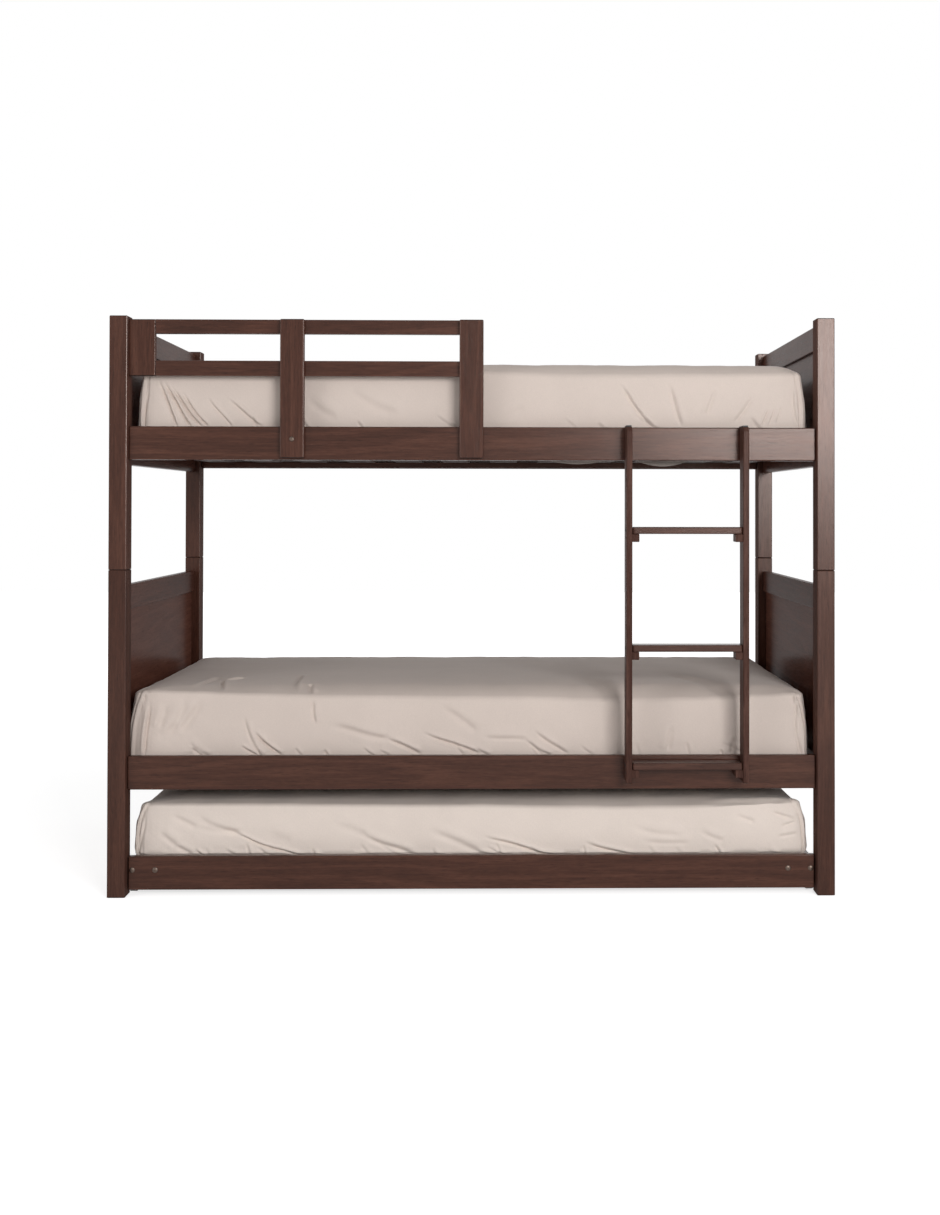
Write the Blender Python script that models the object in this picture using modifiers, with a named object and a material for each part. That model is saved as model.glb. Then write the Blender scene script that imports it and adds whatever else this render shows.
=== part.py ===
import math

import bmesh
import bpy
from mathutils import Matrix, Vector

# Bunk bed: two stacked single beds, a roll-out trundle, a guard rail and a ladder that hooks over a rail.
# Metres. X runs along the bed, Y from the front to the back, Z up.
# The origin is on the floor, in the middle of the whole footprint with the ladder.

# Bed frame
bed_length = 2.030
bed_width = 1.060
lower_post_height = 0.910
upper_post_height = 0.710
post_width = 0.050
post_depth = 0.060
post_edge = 0.0025

# Clearances
touch_gap = 0.0003
cut_overrun = 0.004

# Side rails
rail_height = 0.094
rail_thickness = 0.022
rail_setback = 0.020
rail_end_gap = 0.0005
rail_edge = 0.003
lower_rail_bottom = 0.296
upper_rail_rise = 0.308

# End frames: a top rail, a bottom rail and a panel held in their grooves
end_rail_thickness = 0.022
end_rail_inset = 0.010
end_rail_edge = 0.002
end_top_rail_height = 0.070
end_bottom_rail_height = 0.094
end_bottom_rail_drop = 0.013
end_top_rail_drop = 0.046
upper_top_rail_drop = 0.010
panel_thickness = 0.009
panel_setback = 0.010
groove_depth = 0.008

# Dowels on the lower posts that hold the upper posts
dowel_radius = 0.006
dowel_length = 0.030
dowel_clearance = 0.0004
dowel_steps = 12

# Slats on two ribbons, and the cleats on the side rails that carry them
cleat_top_rise = 0.020
cleat_depth = 0.020
cleat_end_gap = 0.015
slat_width = 0.090
slat_thickness = 0.012
slat_end_gap = 0.003
slat_count = 12
slat_end_margin = 0.060
ribbon_width = 0.030
ribbon_thickness = 0.0015
ribbon_end_margin = 0.180

# Mattresses and fitted sheets
mattress_end_gap = 0.015
mattress_side_gap = 0.013
mattress_height = 0.240
mattress_crown = 0.012
mattress_pull_in = 0.004
mattress_edge_inset = 0.060
lower_mattress_shift = 0.004
sheet_thickness = 0.0012
sheet_clearance = 0.0004
cushion_cuts = 3

# Round-headed bolts
bolt_head_radius = 0.0070
bolt_head_height = 0.0030
bolt_rim_height = 0.0012
bolt_crown_share = 0.60
bolt_shank_radius = 0.0030
bolt_clearance = 0.0004
bolt_grip = 0.040
bolt_spacing = 0.052
post_bolt_sink = 0.0036
bolt_steps = 10

# Guard rail
guard_top_drop = 0.008
guard_board_thickness = 0.020
guard_board_edge = 0.001
guard_top_rail_height = 0.040
guard_lower_rail_height = 0.043
guard_frame_height = 0.1585
guard_stile_width = 0.072
guard_post_width = 0.067
guard_post_foot_rise = 0.0055
guard_middle_post_reach = 0.458
guard_right_post_reach = 0.959
guard_rail_end_margin = 0.004
guard_bolt_rise = 0.058
guard_bolt_sink = 0.0020
guard_stile_bolt_margin = 0.022
guard_bolt_grip = 0.016

# Ladder
ladder_end_margin = 0.248
ladder_width = 0.342
ladder_stile_thickness = 0.017
ladder_stile_depth = 0.065
ladder_foot_rise = 0.026
ladder_top_nose = 0.014
ladder_edge = 0.0025
nose_segments = 4
rung_depth = 0.055
rung_thickness = 0.019
rung_setback = 0.002
rung_corner = 0.007
rung_edge = 0.0025
top_rung_drop = 0.280
bottom_rung_rise = 0.056
block_width = 0.020
block_depth = 0.050
block_height = 0.022
block_edge = 0.0015
block_setback = 0.001
hook_thickness = 0.003
hook_width = 0.014
hook_drop = 0.034
hook_front_margin = 0.016
hook_bend_points = 3

# Trundle
trundle_side_gap = 0.003
trundle_front_setback = 0.024
trundle_back_setback = 0.020
trundle_floor_gap = 0.016
trundle_board_height = 0.094
trundle_board_thickness = 0.022
trundle_board_edge = 0.003
trundle_end_floor_gap = 0.008
trundle_cleat_top = 0.084
trundle_cleat_height = 0.034
trundle_cleat_depth = 0.020
trundle_mattress_height = 0.148
trundle_mattress_shift = -0.006
trundle_bolt_height = 0.072
trundle_bolt_pitch = 0.064
trundle_bolt_grip = 0.014

# Trundle wheels on stub axles in the end boards
wheel_radius = 0.020
wheel_width = 0.015
wheel_edge = 0.0025
wheel_bore_clearance = 0.0003
wheel_side_gap = 0.0008
wheel_end_margin = 0.160
wheel_steps = 24
axle_radius = 0.004
axle_collar_radius = 0.0065
axle_collar_thickness = 0.002
axle_head_radius = 0.007
axle_head_thickness = 0.002
axle_grip = 0.016
axle_steps = 12

# Sizes worked out from the ones above
half_length = bed_length / 2
bed_height = lower_post_height + upper_post_height
ladder_reach = ladder_stile_depth + touch_gap - rail_setback
bed_front = (ladder_reach - bed_width) / 2
bed_back = bed_front + bed_width
bed_middle_y = (bed_front + bed_back) / 2
post_inner_x = half_length - post_width
upper_rail_bottom = lower_post_height + upper_rail_rise
upper_rail_top = upper_rail_bottom + rail_height
rail_front_y = bed_front + rail_setback
rail_inner_half = bed_width / 2 - rail_setback - rail_thickness
mattress_length = 2 * (post_inner_x - mattress_end_gap)
mattress_width = 2 * (rail_inner_half - mattress_side_gap)
rail_bottoms = {"lower": lower_rail_bottom, "upper": upper_rail_bottom}
post_spans = {"lower": (0.0, lower_post_height), "upper": (lower_post_height + touch_gap, bed_height)}
end_top_heights = {"lower": lower_post_height - end_top_rail_drop, "upper": bed_height - upper_top_rail_drop}
deck_heights = {
    level: bottom + cleat_top_rise + slat_thickness + touch_gap for level, bottom in rail_bottoms.items()
}
guard_top = bed_height - guard_top_drop
guard_bottom = guard_top - guard_frame_height
guard_middle_post_x = guard_middle_post_reach - post_inner_x
guard_right_post_x = guard_right_post_reach - post_inner_x
guard_post_xs = {"middle": guard_middle_post_x, "right": guard_right_post_x}
rail_bolt_length = post_width - post_bolt_sink + rail_end_gap + bolt_grip
ladder_front = bed_front - ladder_reach
ladder_left = half_length - ladder_end_margin - ladder_width
ladder_foot_height = lower_rail_bottom + ladder_foot_rise
top_rung_height = upper_rail_top - top_rung_drop
bottom_rung_height = ladder_foot_height + bottom_rung_rise
hook_bend_radius = rail_edge
trundle_half = post_inner_x - trundle_side_gap
trundle_end_inner = trundle_half - trundle_board_thickness
trundle_front = bed_front + trundle_front_setback
trundle_back = bed_back - trundle_back_setback
trundle_deck = trundle_cleat_top + slat_thickness + touch_gap
trundle_bolt_length = trundle_board_thickness + trundle_bolt_grip
outer_bolt_x = trundle_half - trundle_board_thickness / 2
trundle_middle_y = (trundle_front + trundle_back) / 2

sides = {"left": -1, "right": 1}
depths = {"front": -1, "back": 1}
outward = {"left": "-X", "right": "+X"}
inward = {"left": "+X", "right": "-X"}
rung_names = ("top", "middle", "bottom")

# Turns a shape whose head looks along +Z so that it looks the named way
headings = {
    "-X": Matrix.Rotation(-math.pi / 2, 4, "Y"),
    "+X": Matrix.Rotation(math.pi / 2, 4, "Y"),
    "-Y": Matrix.Rotation(math.pi / 2, 4, "X"),
    "+Y": Matrix.Rotation(-math.pi / 2, 4, "X"),
    "+Z": Matrix.Identity(4),
}

# Colour, roughness and metallic value of each finish
finish_values = {
    "walnut_post": ((0.085, 0.048, 0.036), 0.42, 0.0),
    "walnut_rail": ((0.075, 0.042, 0.031), 0.42, 0.0),
    "walnut_panel": ((0.080, 0.056, 0.045), 0.50, 0.0),
    "walnut_slat": ((0.06, 0.03, 0.022), 0.65, 0.0),
    "steel": ((0.115, 0.085, 0.070), 0.42, 1.0),
    "black_steel": ((0.03, 0.03, 0.03), 0.45, 1.0),
    "wheel_nylon": ((0.05, 0.05, 0.05), 0.50, 0.0),
    "mattress_ticking": ((0.72, 0.70, 0.66), 0.90, 0.0),
    "beige_cotton": ((0.58, 0.50, 0.45), 0.92, 0.0),
    "cream_cotton": ((0.66, 0.59, 0.53), 0.92, 0.0),
}


def clear_scene():
    for item in list(bpy.data.objects):
        bpy.data.objects.remove(item, do_unlink=True)


def make_collection(name):
    collection = bpy.data.collections.new(name)
    bpy.context.scene.collection.children.link(collection)
    return collection


def make_finish(name, color, roughness, metallic):
    material = bpy.data.materials.new(name)
    material.use_nodes = True
    shader = material.node_tree.nodes["Principled BSDF"]
    shader.inputs["Base Color"].default_value = (*color, 1.0)
    shader.inputs["Roughness"].default_value = roughness
    shader.inputs["Metallic"].default_value = metallic
    return material


clear_scene()
bed_parts = make_collection("bunk_bed")
cutters = make_collection("cutters")
finishes = {name: make_finish(name, *values) for name, values in finish_values.items()}


def new_mesh(name, shape):
    mesh = bpy.data.meshes.new(name)
    shape.to_mesh(mesh)
    shape.free()
    return mesh


def add_piece(name, mesh, position, finish, parent=None):
    """A named piece with its origin at position, which is a world place."""
    item = bpy.data.objects.new(name, mesh)
    bed_parts.objects.link(item)
    mesh.materials.append(finishes[finish])
    item.parent = parent
    anchor = parent.location if parent else Vector()
    item.location = Vector(position) - anchor
    return item


def add_cutter(name, mesh):
    item = bpy.data.objects.new(name, mesh)
    cutters.objects.link(item)
    item.hide_render = True
    item.display_type = "WIRE"
    return item


def add_pivot(name, position):
    pivot = bpy.data.objects.new(name, None)
    bed_parts.objects.link(pivot)
    pivot.location = position
    return pivot


def combine(piece, other, operation):
    modifier = piece.modifiers.new(other.name, "BOOLEAN")
    modifier.operation = operation
    modifier.solver = "EXACT"
    modifier.object = other


def drill(name, hole, placements, pieces):
    """Cuts the same set of holes into each of the pieces."""
    cutter = add_cutter(name, repeated_mesh(name, hole, placements))
    for piece in pieces:
        combine(piece, cutter, "DIFFERENCE")


def glue_on(name, shape, placements, piece, edge=None):
    """Joins copies of a shape that reach into the piece with it."""
    addition = add_cutter(name, repeated_mesh(name, shape, placements))
    if edge:
        ease_edges(addition, edge, 1)
    combine(piece, addition, "UNION")


def ease_edges(piece, width, segments=2):
    bevel = piece.modifiers.new("eased_edges", "BEVEL")
    bevel.width = width
    bevel.segments = segments
    bevel.limit_method = "ANGLE"
    bevel.angle_limit = math.radians(40)


def box_shape(size):
    shape = bmesh.new()
    bmesh.ops.create_cube(shape, size=1.0)
    bmesh.ops.scale(shape, vec=size, verts=shape.verts)
    return shape


def box_between(name, low, high, finish, edge=None, parent=None):
    low = Vector(low)
    high = Vector(high)
    mesh = new_mesh(name, box_shape(high - low))
    piece = add_piece(name, mesh, (low + high) / 2, finish, parent)
    if edge:
        ease_edges(piece, edge)
    return piece


def turned_mesh(name, profile, steps, closed=False):
    """Turns (radius, height) points about Z. The outer side runs from the top down."""
    mesh = bpy.data.meshes.new(name)
    corners = [(radius, 0.0, height) for radius, height in profile]
    edges = [(index, index + 1) for index in range(len(corners) - 1)]
    if closed:
        edges.append((len(corners) - 1, 0))
    mesh.from_pydata(corners, edges, [])
    guide = bpy.data.objects.new(name, mesh)
    bpy.context.scene.collection.objects.link(guide)
    screw = guide.modifiers.new("turn", "SCREW")
    screw.steps = steps
    screw.render_steps = steps
    screw.use_merge_vertices = True
    screw.merge_threshold = touch_gap / 10
    bpy.context.view_layer.update()
    evaluated = guide.evaluated_get(bpy.context.evaluated_depsgraph_get())
    solid = bpy.data.meshes.new_from_object(evaluated)
    bpy.data.objects.remove(guide, do_unlink=True)
    solid.shade_smooth()
    solid.set_sharp_from_angle(angle=math.radians(35))
    return solid


def repeated_mesh(name, source, placements):
    """One mesh with a separate copy of source at each placement."""
    shape = bmesh.new()
    for placement in placements:
        copy = source.copy()
        copy.transform(placement)
        shape.from_mesh(copy)
        bpy.data.meshes.remove(copy)
    return new_mesh(name, shape)


def placed(position, heading="+Z"):
    return Matrix.Translation(position) @ headings[heading]


def depth_span(depth_sign, setback, thickness):
    """Low and high Y of a board that stands setback behind the bed's front or back face."""
    if depth_sign < 0:
        return bed_front + setback, bed_front + setback + thickness
    return bed_back - setback - thickness, bed_back - setback


def side_span(side_sign, inner, outer):
    return sorted((side_sign * inner, side_sign * outer))


# Bolts: the head's seat is at height zero, and the shank runs down from it


def bolt_mesh(length):
    profile = [
        (0.0, bolt_head_height),
        (bolt_head_radius * bolt_crown_share, bolt_head_height),
        (bolt_head_radius, bolt_rim_height),
        (bolt_head_radius, 0.0),
        (bolt_shank_radius, 0.0),
        (bolt_shank_radius, -length),
        (0.0, -length),
    ]
    return turned_mesh("bolt", profile, bolt_steps)


def sunk_bolt_hole(length, sink):
    """The room for a bolt whose head's seat lies sink under the surface."""
    head_hole = bolt_head_radius + bolt_clearance
    shank_hole = bolt_shank_radius + bolt_clearance
    hole_end = -length - touch_gap
    mouth = sink + cut_overrun
    profile = [(0.0, mouth), (head_hole, mouth), (head_hole, -touch_gap)]
    profile += [(shank_hole, -touch_gap), (shank_hole, hole_end), (0.0, hole_end)]
    return turned_mesh("sunk_bolt_hole", profile, bolt_steps)


def plain_hole(radius, length, steps):
    """A straight hole that runs down from height zero."""
    profile = [(0.0, cut_overrun), (radius, cut_overrun), (radius, -length), (0.0, -length)]
    return turned_mesh("plain_hole", profile, steps)


# Posts. A dowel on each lower post holds the upper one


def add_posts():
    posts = {}
    for level, (bottom, top) in post_spans.items():
        for side, side_sign in sides.items():
            for depth, depth_sign in depths.items():
                low_x, high_x = side_span(side_sign, post_inner_x, half_length)
                low_y, high_y = depth_span(depth_sign, 0.0, post_depth)
                name = f"{level}_post_{depth}_{side}"
                low = (low_x, low_y, bottom)
                high = (high_x, high_y, top)
                posts[level, side, depth] = box_between(name, low, high, "walnut_post", post_edge)
    return posts


def add_dowels(posts):
    hole_radius = dowel_radius + dowel_clearance
    hole_length = dowel_length + dowel_clearance
    profile = [
        (0.0, dowel_length),
        (dowel_radius, dowel_length),
        (dowel_radius, -dowel_length / 2),
        (0.0, -dowel_length / 2),
    ]
    dowel = turned_mesh("dowel", profile, dowel_steps)
    hole = turned_mesh(
        "dowel_hole",
        [(0.0, hole_length), (hole_radius, hole_length), (hole_radius, -cut_overrun), (0.0, -cut_overrun)],
        dowel_steps,
    )
    for side, side_sign in sides.items():
        for depth, depth_sign in depths.items():
            middle_y = sum(depth_span(depth_sign, 0.0, post_depth)) / 2
            middle_x = side_sign * (half_length - post_width / 2)
            place = placed((middle_x, middle_y, lower_post_height))
            glue_on(f"dowel_{depth}_{side}", dowel, [place], posts["lower", side, depth])
            drill(f"dowel_hole_{depth}_{side}", hole, [place], [posts["upper", side, depth]])


# End frames: the panel stands in grooves of the rails and the posts


def add_end_frame(level, side, posts):
    side_sign = sides[side]
    outer = half_length - end_rail_inset
    inner = outer - end_rail_thickness
    low_x, high_x = side_span(side_sign, inner, outer)
    low_y = bed_front + post_depth + touch_gap
    high_y = bed_back - post_depth - touch_gap
    top = end_top_heights[level]
    top_rail_bottom = top - end_top_rail_height
    bottom = rail_bottoms[level] - end_bottom_rail_drop
    bottom_rail_top = bottom + end_bottom_rail_height
    spans = {"top": (top_rail_bottom, top), "bottom": (bottom, bottom_rail_top)}
    grooved = [posts[level, side, "front"], posts[level, side, "back"]]
    for place, (low_z, high_z) in spans.items():
        name = f"{level}_end_{place}_rail_{side}"
        low = (low_x, low_y, low_z)
        high = (high_x, high_y, high_z)
        grooved.append(box_between(name, low, high, "walnut_rail", end_rail_edge))

    panel_inner = inner + panel_setback
    panel_low_x, panel_high_x = side_span(side_sign, panel_inner, panel_inner + panel_thickness)
    insert = groove_depth - touch_gap
    low = Vector((panel_low_x, bed_front + post_depth - insert, bottom_rail_top - insert))
    high = Vector((panel_high_x, bed_back - post_depth + insert, top_rail_bottom + insert))
    box_between(f"{level}_end_panel_{side}", low, high, "walnut_panel")
    room = Vector((touch_gap, touch_gap, touch_gap))
    groove = new_mesh("groove", box_shape(high - low + 2 * room))
    drill(f"{level}_panel_groove_{side}", groove, [placed((low + high) / 2)], grooved)


# Side rails with their bolt holes and cleats, and the slats


def add_side_rails(posts):
    rails = {}
    hole = sunk_bolt_hole(rail_bolt_length, post_bolt_sink)
    rail_end = post_inner_x - rail_end_gap
    cleat_inset = cleat_depth + rail_thickness / 2
    cleat_height = cleat_top_rise - rail_edge
    cleat = new_mesh("cleat", box_shape((2 * (post_inner_x - cleat_end_gap), cleat_inset, cleat_height)))
    for level, bottom in rail_bottoms.items():
        for depth, depth_sign in depths.items():
            low_y, high_y = depth_span(depth_sign, rail_setback, rail_thickness)
            low = (-rail_end, low_y, bottom)
            high = (rail_end, high_y, bottom + rail_height)
            rail = box_between(f"{level}_side_rail_{depth}", low, high, "walnut_rail", rail_edge)
            rails[level, depth] = rail
            middle_y = (low_y + high_y) / 2
            cleat_y = middle_y - depth_sign * cleat_inset / 2
            cleat_z = bottom + rail_edge + cleat_height / 2
            glue_on(f"{level}_cleat_{depth}", cleat, [placed((0.0, cleat_y, cleat_z))], rail)
            for side, side_sign in sides.items():
                seat_x = side_sign * (half_length - post_bolt_sink)
                middle_z = bottom + rail_height / 2
                heights = (middle_z - bolt_spacing / 2, middle_z + bolt_spacing / 2)
                placements = [placed((seat_x, middle_y, height), outward[side]) for height in heights]
                pieces = (posts[level, side, depth], rail)
                drill(f"{level}_bolt_holes_{depth}_{side}", hole, placements, pieces)
    return rails


def add_slats(name, half_span, slat_length, middle_y, deck, parent=None):
    """Slats across the bed, held at their spacing by two ribbons under them."""
    first = slat_end_margin - half_span
    pitch = -2 * first / (slat_count - 1)
    height = deck - slat_thickness / 2
    slat = new_mesh("slat", box_shape((slat_width, slat_length, slat_thickness)))
    placements = [placed((first + index * pitch, middle_y, height)) for index in range(slat_count)]
    slats = add_piece(name, repeated_mesh(name, slat, placements), (0.0, 0.0, 0.0), "walnut_slat", parent)
    ribbon = new_mesh("ribbon", box_shape((-2 * first, ribbon_width, 2 * ribbon_thickness)))
    offset = slat_length / 2 - ribbon_end_margin
    ribbon_places = [placed((0.0, middle_y + y, deck - slat_thickness)) for y in (-offset, offset)]
    glue_on(f"{name}_ribbons", ribbon, ribbon_places, slats)


def add_decks():
    slat_length = 2 * (rail_inner_half - slat_end_gap)
    for level, deck in deck_heights.items():
        add_slats(f"{level}_slats", mattress_length / 2, slat_length, bed_middle_y, deck)


# Mattresses and fitted sheets


def cushion_cage(half_size, open_below):
    """A coarse block that stands at zero, crowned on top and drawn in along its sides."""
    half_x, half_y, half_z = half_size
    shape = bmesh.new()
    bmesh.ops.create_cube(shape, size=2.0)
    bmesh.ops.subdivide_edges(shape, edges=shape.edges, cuts=cushion_cuts, use_grid_fill=True)
    steps = (cushion_cuts + 1) // 2

    def at_line(share, half):
        lines = (0.0, half - min(mattress_edge_inset, half / 2), half)
        return math.copysign(lines[abs(round(share * steps))], share)

    for vert in shape.verts:
        x, y, z = (at_line(share, half) for share, half in zip(vert.co, half_size))
        along_x = 1.0 - (x / half_x) ** 2
        along_y = 1.0 - (y / half_y) ** 2
        crown = mattress_crown * math.sqrt(along_x * along_y) if z >= half_z else 0.0
        x -= mattress_pull_in * along_y * x / half_x
        y -= mattress_pull_in * along_x * y / half_y
        vert.co = (x, y, z + half_z + crown)
    if open_below:
        hem = mattress_edge_inset / 2 + mattress_pull_in + sheet_clearance
        middles = [(face, face.calc_center_median()) for face in shape.faces]
        under = [
            face
            for face, middle in middles
            if middle.z < sheet_clearance and abs(middle.x) < half_x - hem and abs(middle.y) < half_y - hem
        ]
        bmesh.ops.delete(shape, geom=under, context="FACES")
    return shape


def add_soft_piece(name, cage, position, finish, parent):
    piece = add_piece(name, new_mesh(name, cage), position, finish, parent)
    rounding = piece.modifiers.new("soft_form", "SUBSURF")
    rounding.levels = 1
    rounding.render_levels = 1
    piece.data.shade_smooth()
    return piece


def add_bedding(level, height, middle_x, middle_y, deck, sheet_finish, parent=None):
    """A mattress in its fitted sheet, which lies on the slats and turns in under the mattress."""
    sheet_offset = sheet_thickness + sheet_clearance
    half_size = Vector((mattress_length / 2, mattress_width / 2, height / 2))
    sheet_half = half_size + Vector((sheet_offset, sheet_offset, sheet_offset))
    bottom = deck + touch_gap
    place = (middle_x, middle_y, bottom + sheet_offset)
    add_soft_piece(f"{level}_mattress", cushion_cage(half_size, False), place, "mattress_ticking", parent)
    place = (middle_x, middle_y, bottom)
    name = f"{level}_fitted_sheet"
    sheet = add_soft_piece(name, cushion_cage(sheet_half, True), place, sheet_finish, parent)
    cloth = sheet.modifiers.new("cloth", "SOLIDIFY")
    cloth.thickness = sheet_thickness
    cloth.offset = -1.0


# Guard rail over the left half of the upper bed's front


def add_guard(posts, rails):
    low_y = rail_front_y
    high_y = rail_front_y + guard_board_thickness
    stile_left = rail_end_gap - post_inner_x
    stile_right = stile_left + guard_stile_width
    rail_left = stile_right + touch_gap
    rail_right = guard_right_post_x + guard_post_width / 2 - guard_rail_end_margin
    top_rail_bottom = guard_top - guard_top_rail_height
    lower_rail_top = guard_bottom + guard_lower_rail_height
    spans = {
        "left_stile": (stile_left, stile_right, guard_bottom, guard_top),
        "top_rail": (rail_left, rail_right, top_rail_bottom, guard_top),
        "lower_rail": (rail_left, rail_right, guard_bottom, lower_rail_top),
    }
    boards = {}
    for name, (low_x, high_x, low_z, high_z) in spans.items():
        low = (low_x, low_y, low_z)
        high = (high_x, high_y, high_z)
        boards[name] = box_between(f"guard_{name}", low, high, "walnut_rail", guard_board_edge)

    # Two bolt holes through the bed post into the stile
    seat_x = post_bolt_sink - half_length
    heights = (guard_bottom + guard_stile_bolt_margin, guard_top - guard_stile_bolt_margin)
    placements = [placed((seat_x, (low_y + high_y) / 2, height), "-X") for height in heights]
    hole = sunk_bolt_hole(rail_bolt_length, post_bolt_sink)
    drill("guard_stile_bolt_holes", hole, placements, (boards["left_stile"], posts["upper", "left", "front"]))

    half = guard_post_width / 2
    guard_posts = {}
    for side, middle_x in guard_post_xs.items():
        low = (middle_x - half, bed_front, upper_rail_bottom + guard_post_foot_rise)
        high = (middle_x + half, rail_front_y - touch_gap, guard_top)
        guard_posts[side] = box_between(f"guard_{side}_post", low, high, "walnut_post", rail_edge)

    # The middle post's bolt into the side rail, with its head on the front
    length = rail_setback + guard_bolt_grip
    height = upper_rail_bottom + guard_bolt_rise
    placement = placed((guard_middle_post_x, bed_front + guard_bolt_sink, height), "-Y")
    hole = sunk_bolt_hole(length, guard_bolt_sink)
    drill("guard_bolt_hole", hole, [placement], (guard_posts["middle"], rails["upper", "front"]))
    bolt = repeated_mesh("guard_bolt", bolt_mesh(length), [headings["-Y"]])
    add_piece("guard_bolt", bolt, placement.translation, "steel")


# Ladder that hooks over the upper side rail


def rounded_board(name, low, high, is_corner, radius, edge, finish, parent):
    """A board with one set of its edges rounded to radius and the others eased."""
    low = Vector(low)
    high = Vector(high)
    shape = box_shape(high - low)
    corners = [line for line in shape.edges if is_corner(*(vert.co for vert in line.verts))]
    bmesh.ops.bevel(shape, geom=corners, offset=radius, segments=nose_segments, profile=0.5, affect="EDGES")
    piece = add_piece(name, new_mesh(name, shape), (low + high) / 2, finish, parent)
    ease_edges(piece, edge)
    return piece


def is_upper_front(start, end):
    return max(start.y, end.y) < 0.0 < min(start.z, end.z)


def is_upright_front(start, end):
    return max(start.y, end.y) < 0.0 and start.z * end.z < 0.0


def hook_mesh():
    """The under side of a bent strap that lies on the rail and turns down behind it."""
    leg_y = rail_front_y + rail_thickness + touch_gap
    under = upper_rail_top + touch_gap
    path = [(ladder_front + hook_front_margin, under)]
    for index in range(hook_bend_points + 1):
        angle = math.pi / 2 * (1 - index / hook_bend_points)
        y = leg_y - hook_bend_radius + hook_bend_radius * math.cos(angle)
        z = under - hook_bend_radius + hook_bend_radius * math.sin(angle)
        path.append((y, z))
    path.append((leg_y, under - hook_drop))
    shape = bmesh.new()
    half = hook_width / 2
    rows = [[shape.verts.new((x, y, z)) for x in (-half, half)] for y, z in path]
    for row, after in zip(rows, rows[1:]):
        shape.faces.new((row[0], row[1], after[1], after[0]))
    return new_mesh("hook", shape)


def add_ladder():
    back = ladder_front + ladder_stile_depth
    right_edge = ladder_left + ladder_width
    pivot = add_pivot("ladder_pivot", ((ladder_left + right_edge) / 2, rail_front_y, upper_rail_top))
    spans = {
        "left": (ladder_left, ladder_left + ladder_stile_thickness),
        "right": (right_edge - ladder_stile_thickness, right_edge),
    }
    rung_front = ladder_front + rung_setback
    rung_back = rung_front + rung_depth
    rung_pitch = (top_rung_height - bottom_rung_height) / (len(rung_names) - 1)
    rung_tops = [top_rung_height - index * rung_pitch for index in range(len(rung_names))]
    block_reach = block_width + ladder_stile_thickness / 2
    block = new_mesh("block", box_shape((block_reach, block_depth, block_height)))
    block_y = rung_back - block_setback - block_depth / 2
    block_zs = [rung_top - rung_thickness - touch_gap - block_height / 2 for rung_top in rung_tops]
    for side, (low_x, high_x) in spans.items():
        name = f"ladder_stile_{side}"
        low = (low_x, ladder_front, ladder_foot_height)
        high = (high_x, back, upper_rail_top)
        nose = ladder_top_nose
        stile = rounded_board(name, low, high, is_upper_front, nose, ladder_edge, "walnut_post", pivot)
        block_x = (low_x + high_x) / 2 - sides[side] * block_reach / 2
        placements = [placed((block_x, block_y, z)) for z in block_zs]
        glue_on(f"ladder_blocks_{side}", block, placements, stile, block_edge)

    rung_left = spans["left"][1] + touch_gap
    rung_right = spans["right"][0] - touch_gap
    for rung_name, rung_top in zip(rung_names, rung_tops):
        name = f"ladder_rung_{rung_name}"
        low = (rung_left, rung_front, rung_top - rung_thickness)
        high = (rung_right, rung_back, rung_top)
        rounded_board(name, low, high, is_upright_front, rung_corner, rung_edge, "walnut_rail", pivot)

    for side, span in spans.items():
        mesh = hook_mesh()
        place = (sum(span) / 2, 0.0, 0.0)
        hook = add_piece(f"ladder_hook_{side}", mesh, place, "black_steel", pivot)
        plate = hook.modifiers.new("plate", "SOLIDIFY")
        plate.thickness = hook_thickness
        plate.offset = 1.0
        plate.use_even_offset = True


# Trundle: a low open box on four wheels under the lower bed


def add_trundle():
    pivot = add_pivot("trundle_pivot", (0.0, trundle_front, 0.0))
    inner_front = trundle_front + trundle_board_thickness
    inner_back = trundle_back - trundle_board_thickness
    spans = {"front": (trundle_front, inner_front), "back": (inner_back, trundle_back)}
    cleat_inset = trundle_cleat_depth + trundle_board_thickness / 2
    cleat_length = 2 * (trundle_end_inner - touch_gap)
    cleat = new_mesh("cleat", box_shape((cleat_length, cleat_inset, trundle_cleat_height)))
    cleat_z = trundle_cleat_top - trundle_cleat_height / 2
    shifts = (0.0, trundle_bolt_pitch)
    bolt_xs = [sign * (outer_bolt_x - shift) for sign in sides.values() for shift in shifts]
    hole = plain_hole(bolt_shank_radius + bolt_clearance, trundle_bolt_length, bolt_steps)
    boards = {}
    for depth, (low_y, high_y) in spans.items():
        name = f"trundle_{depth}_board"
        low = (-trundle_half, low_y, trundle_floor_gap)
        high = (trundle_half, high_y, trundle_floor_gap + trundle_board_height)
        boards[depth] = box_between(name, low, high, "walnut_rail", trundle_board_edge, pivot)
        cleat_y = (low_y + high_y) / 2 - depths[depth] * cleat_inset / 2
        glue_on(f"trundle_cleat_{depth}", cleat, [placed((0.0, cleat_y, cleat_z))], boards[depth])
    ends = {}
    for side, side_sign in sides.items():
        low_x, high_x = side_span(side_sign, trundle_end_inner, trundle_half)
        low = (low_x, inner_front + touch_gap, trundle_end_floor_gap)
        high = (high_x, inner_back - touch_gap, trundle_deck)
        ends[side] = box_between(f"trundle_end_{side}", low, high, "walnut_rail", end_rail_edge, pivot)
    placements = [placed((x, trundle_front, trundle_bolt_height), "-Y") for x in bolt_xs]
    drill("trundle_bolt_holes", hole, placements, (boards["front"], *ends.values()))
    slat_length = inner_back - inner_front - 2 * slat_end_gap
    add_slats("trundle_slats", trundle_end_inner, slat_length, trundle_middle_y, trundle_deck, pivot)
    add_wheels(ends, pivot)
    return pivot


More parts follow.
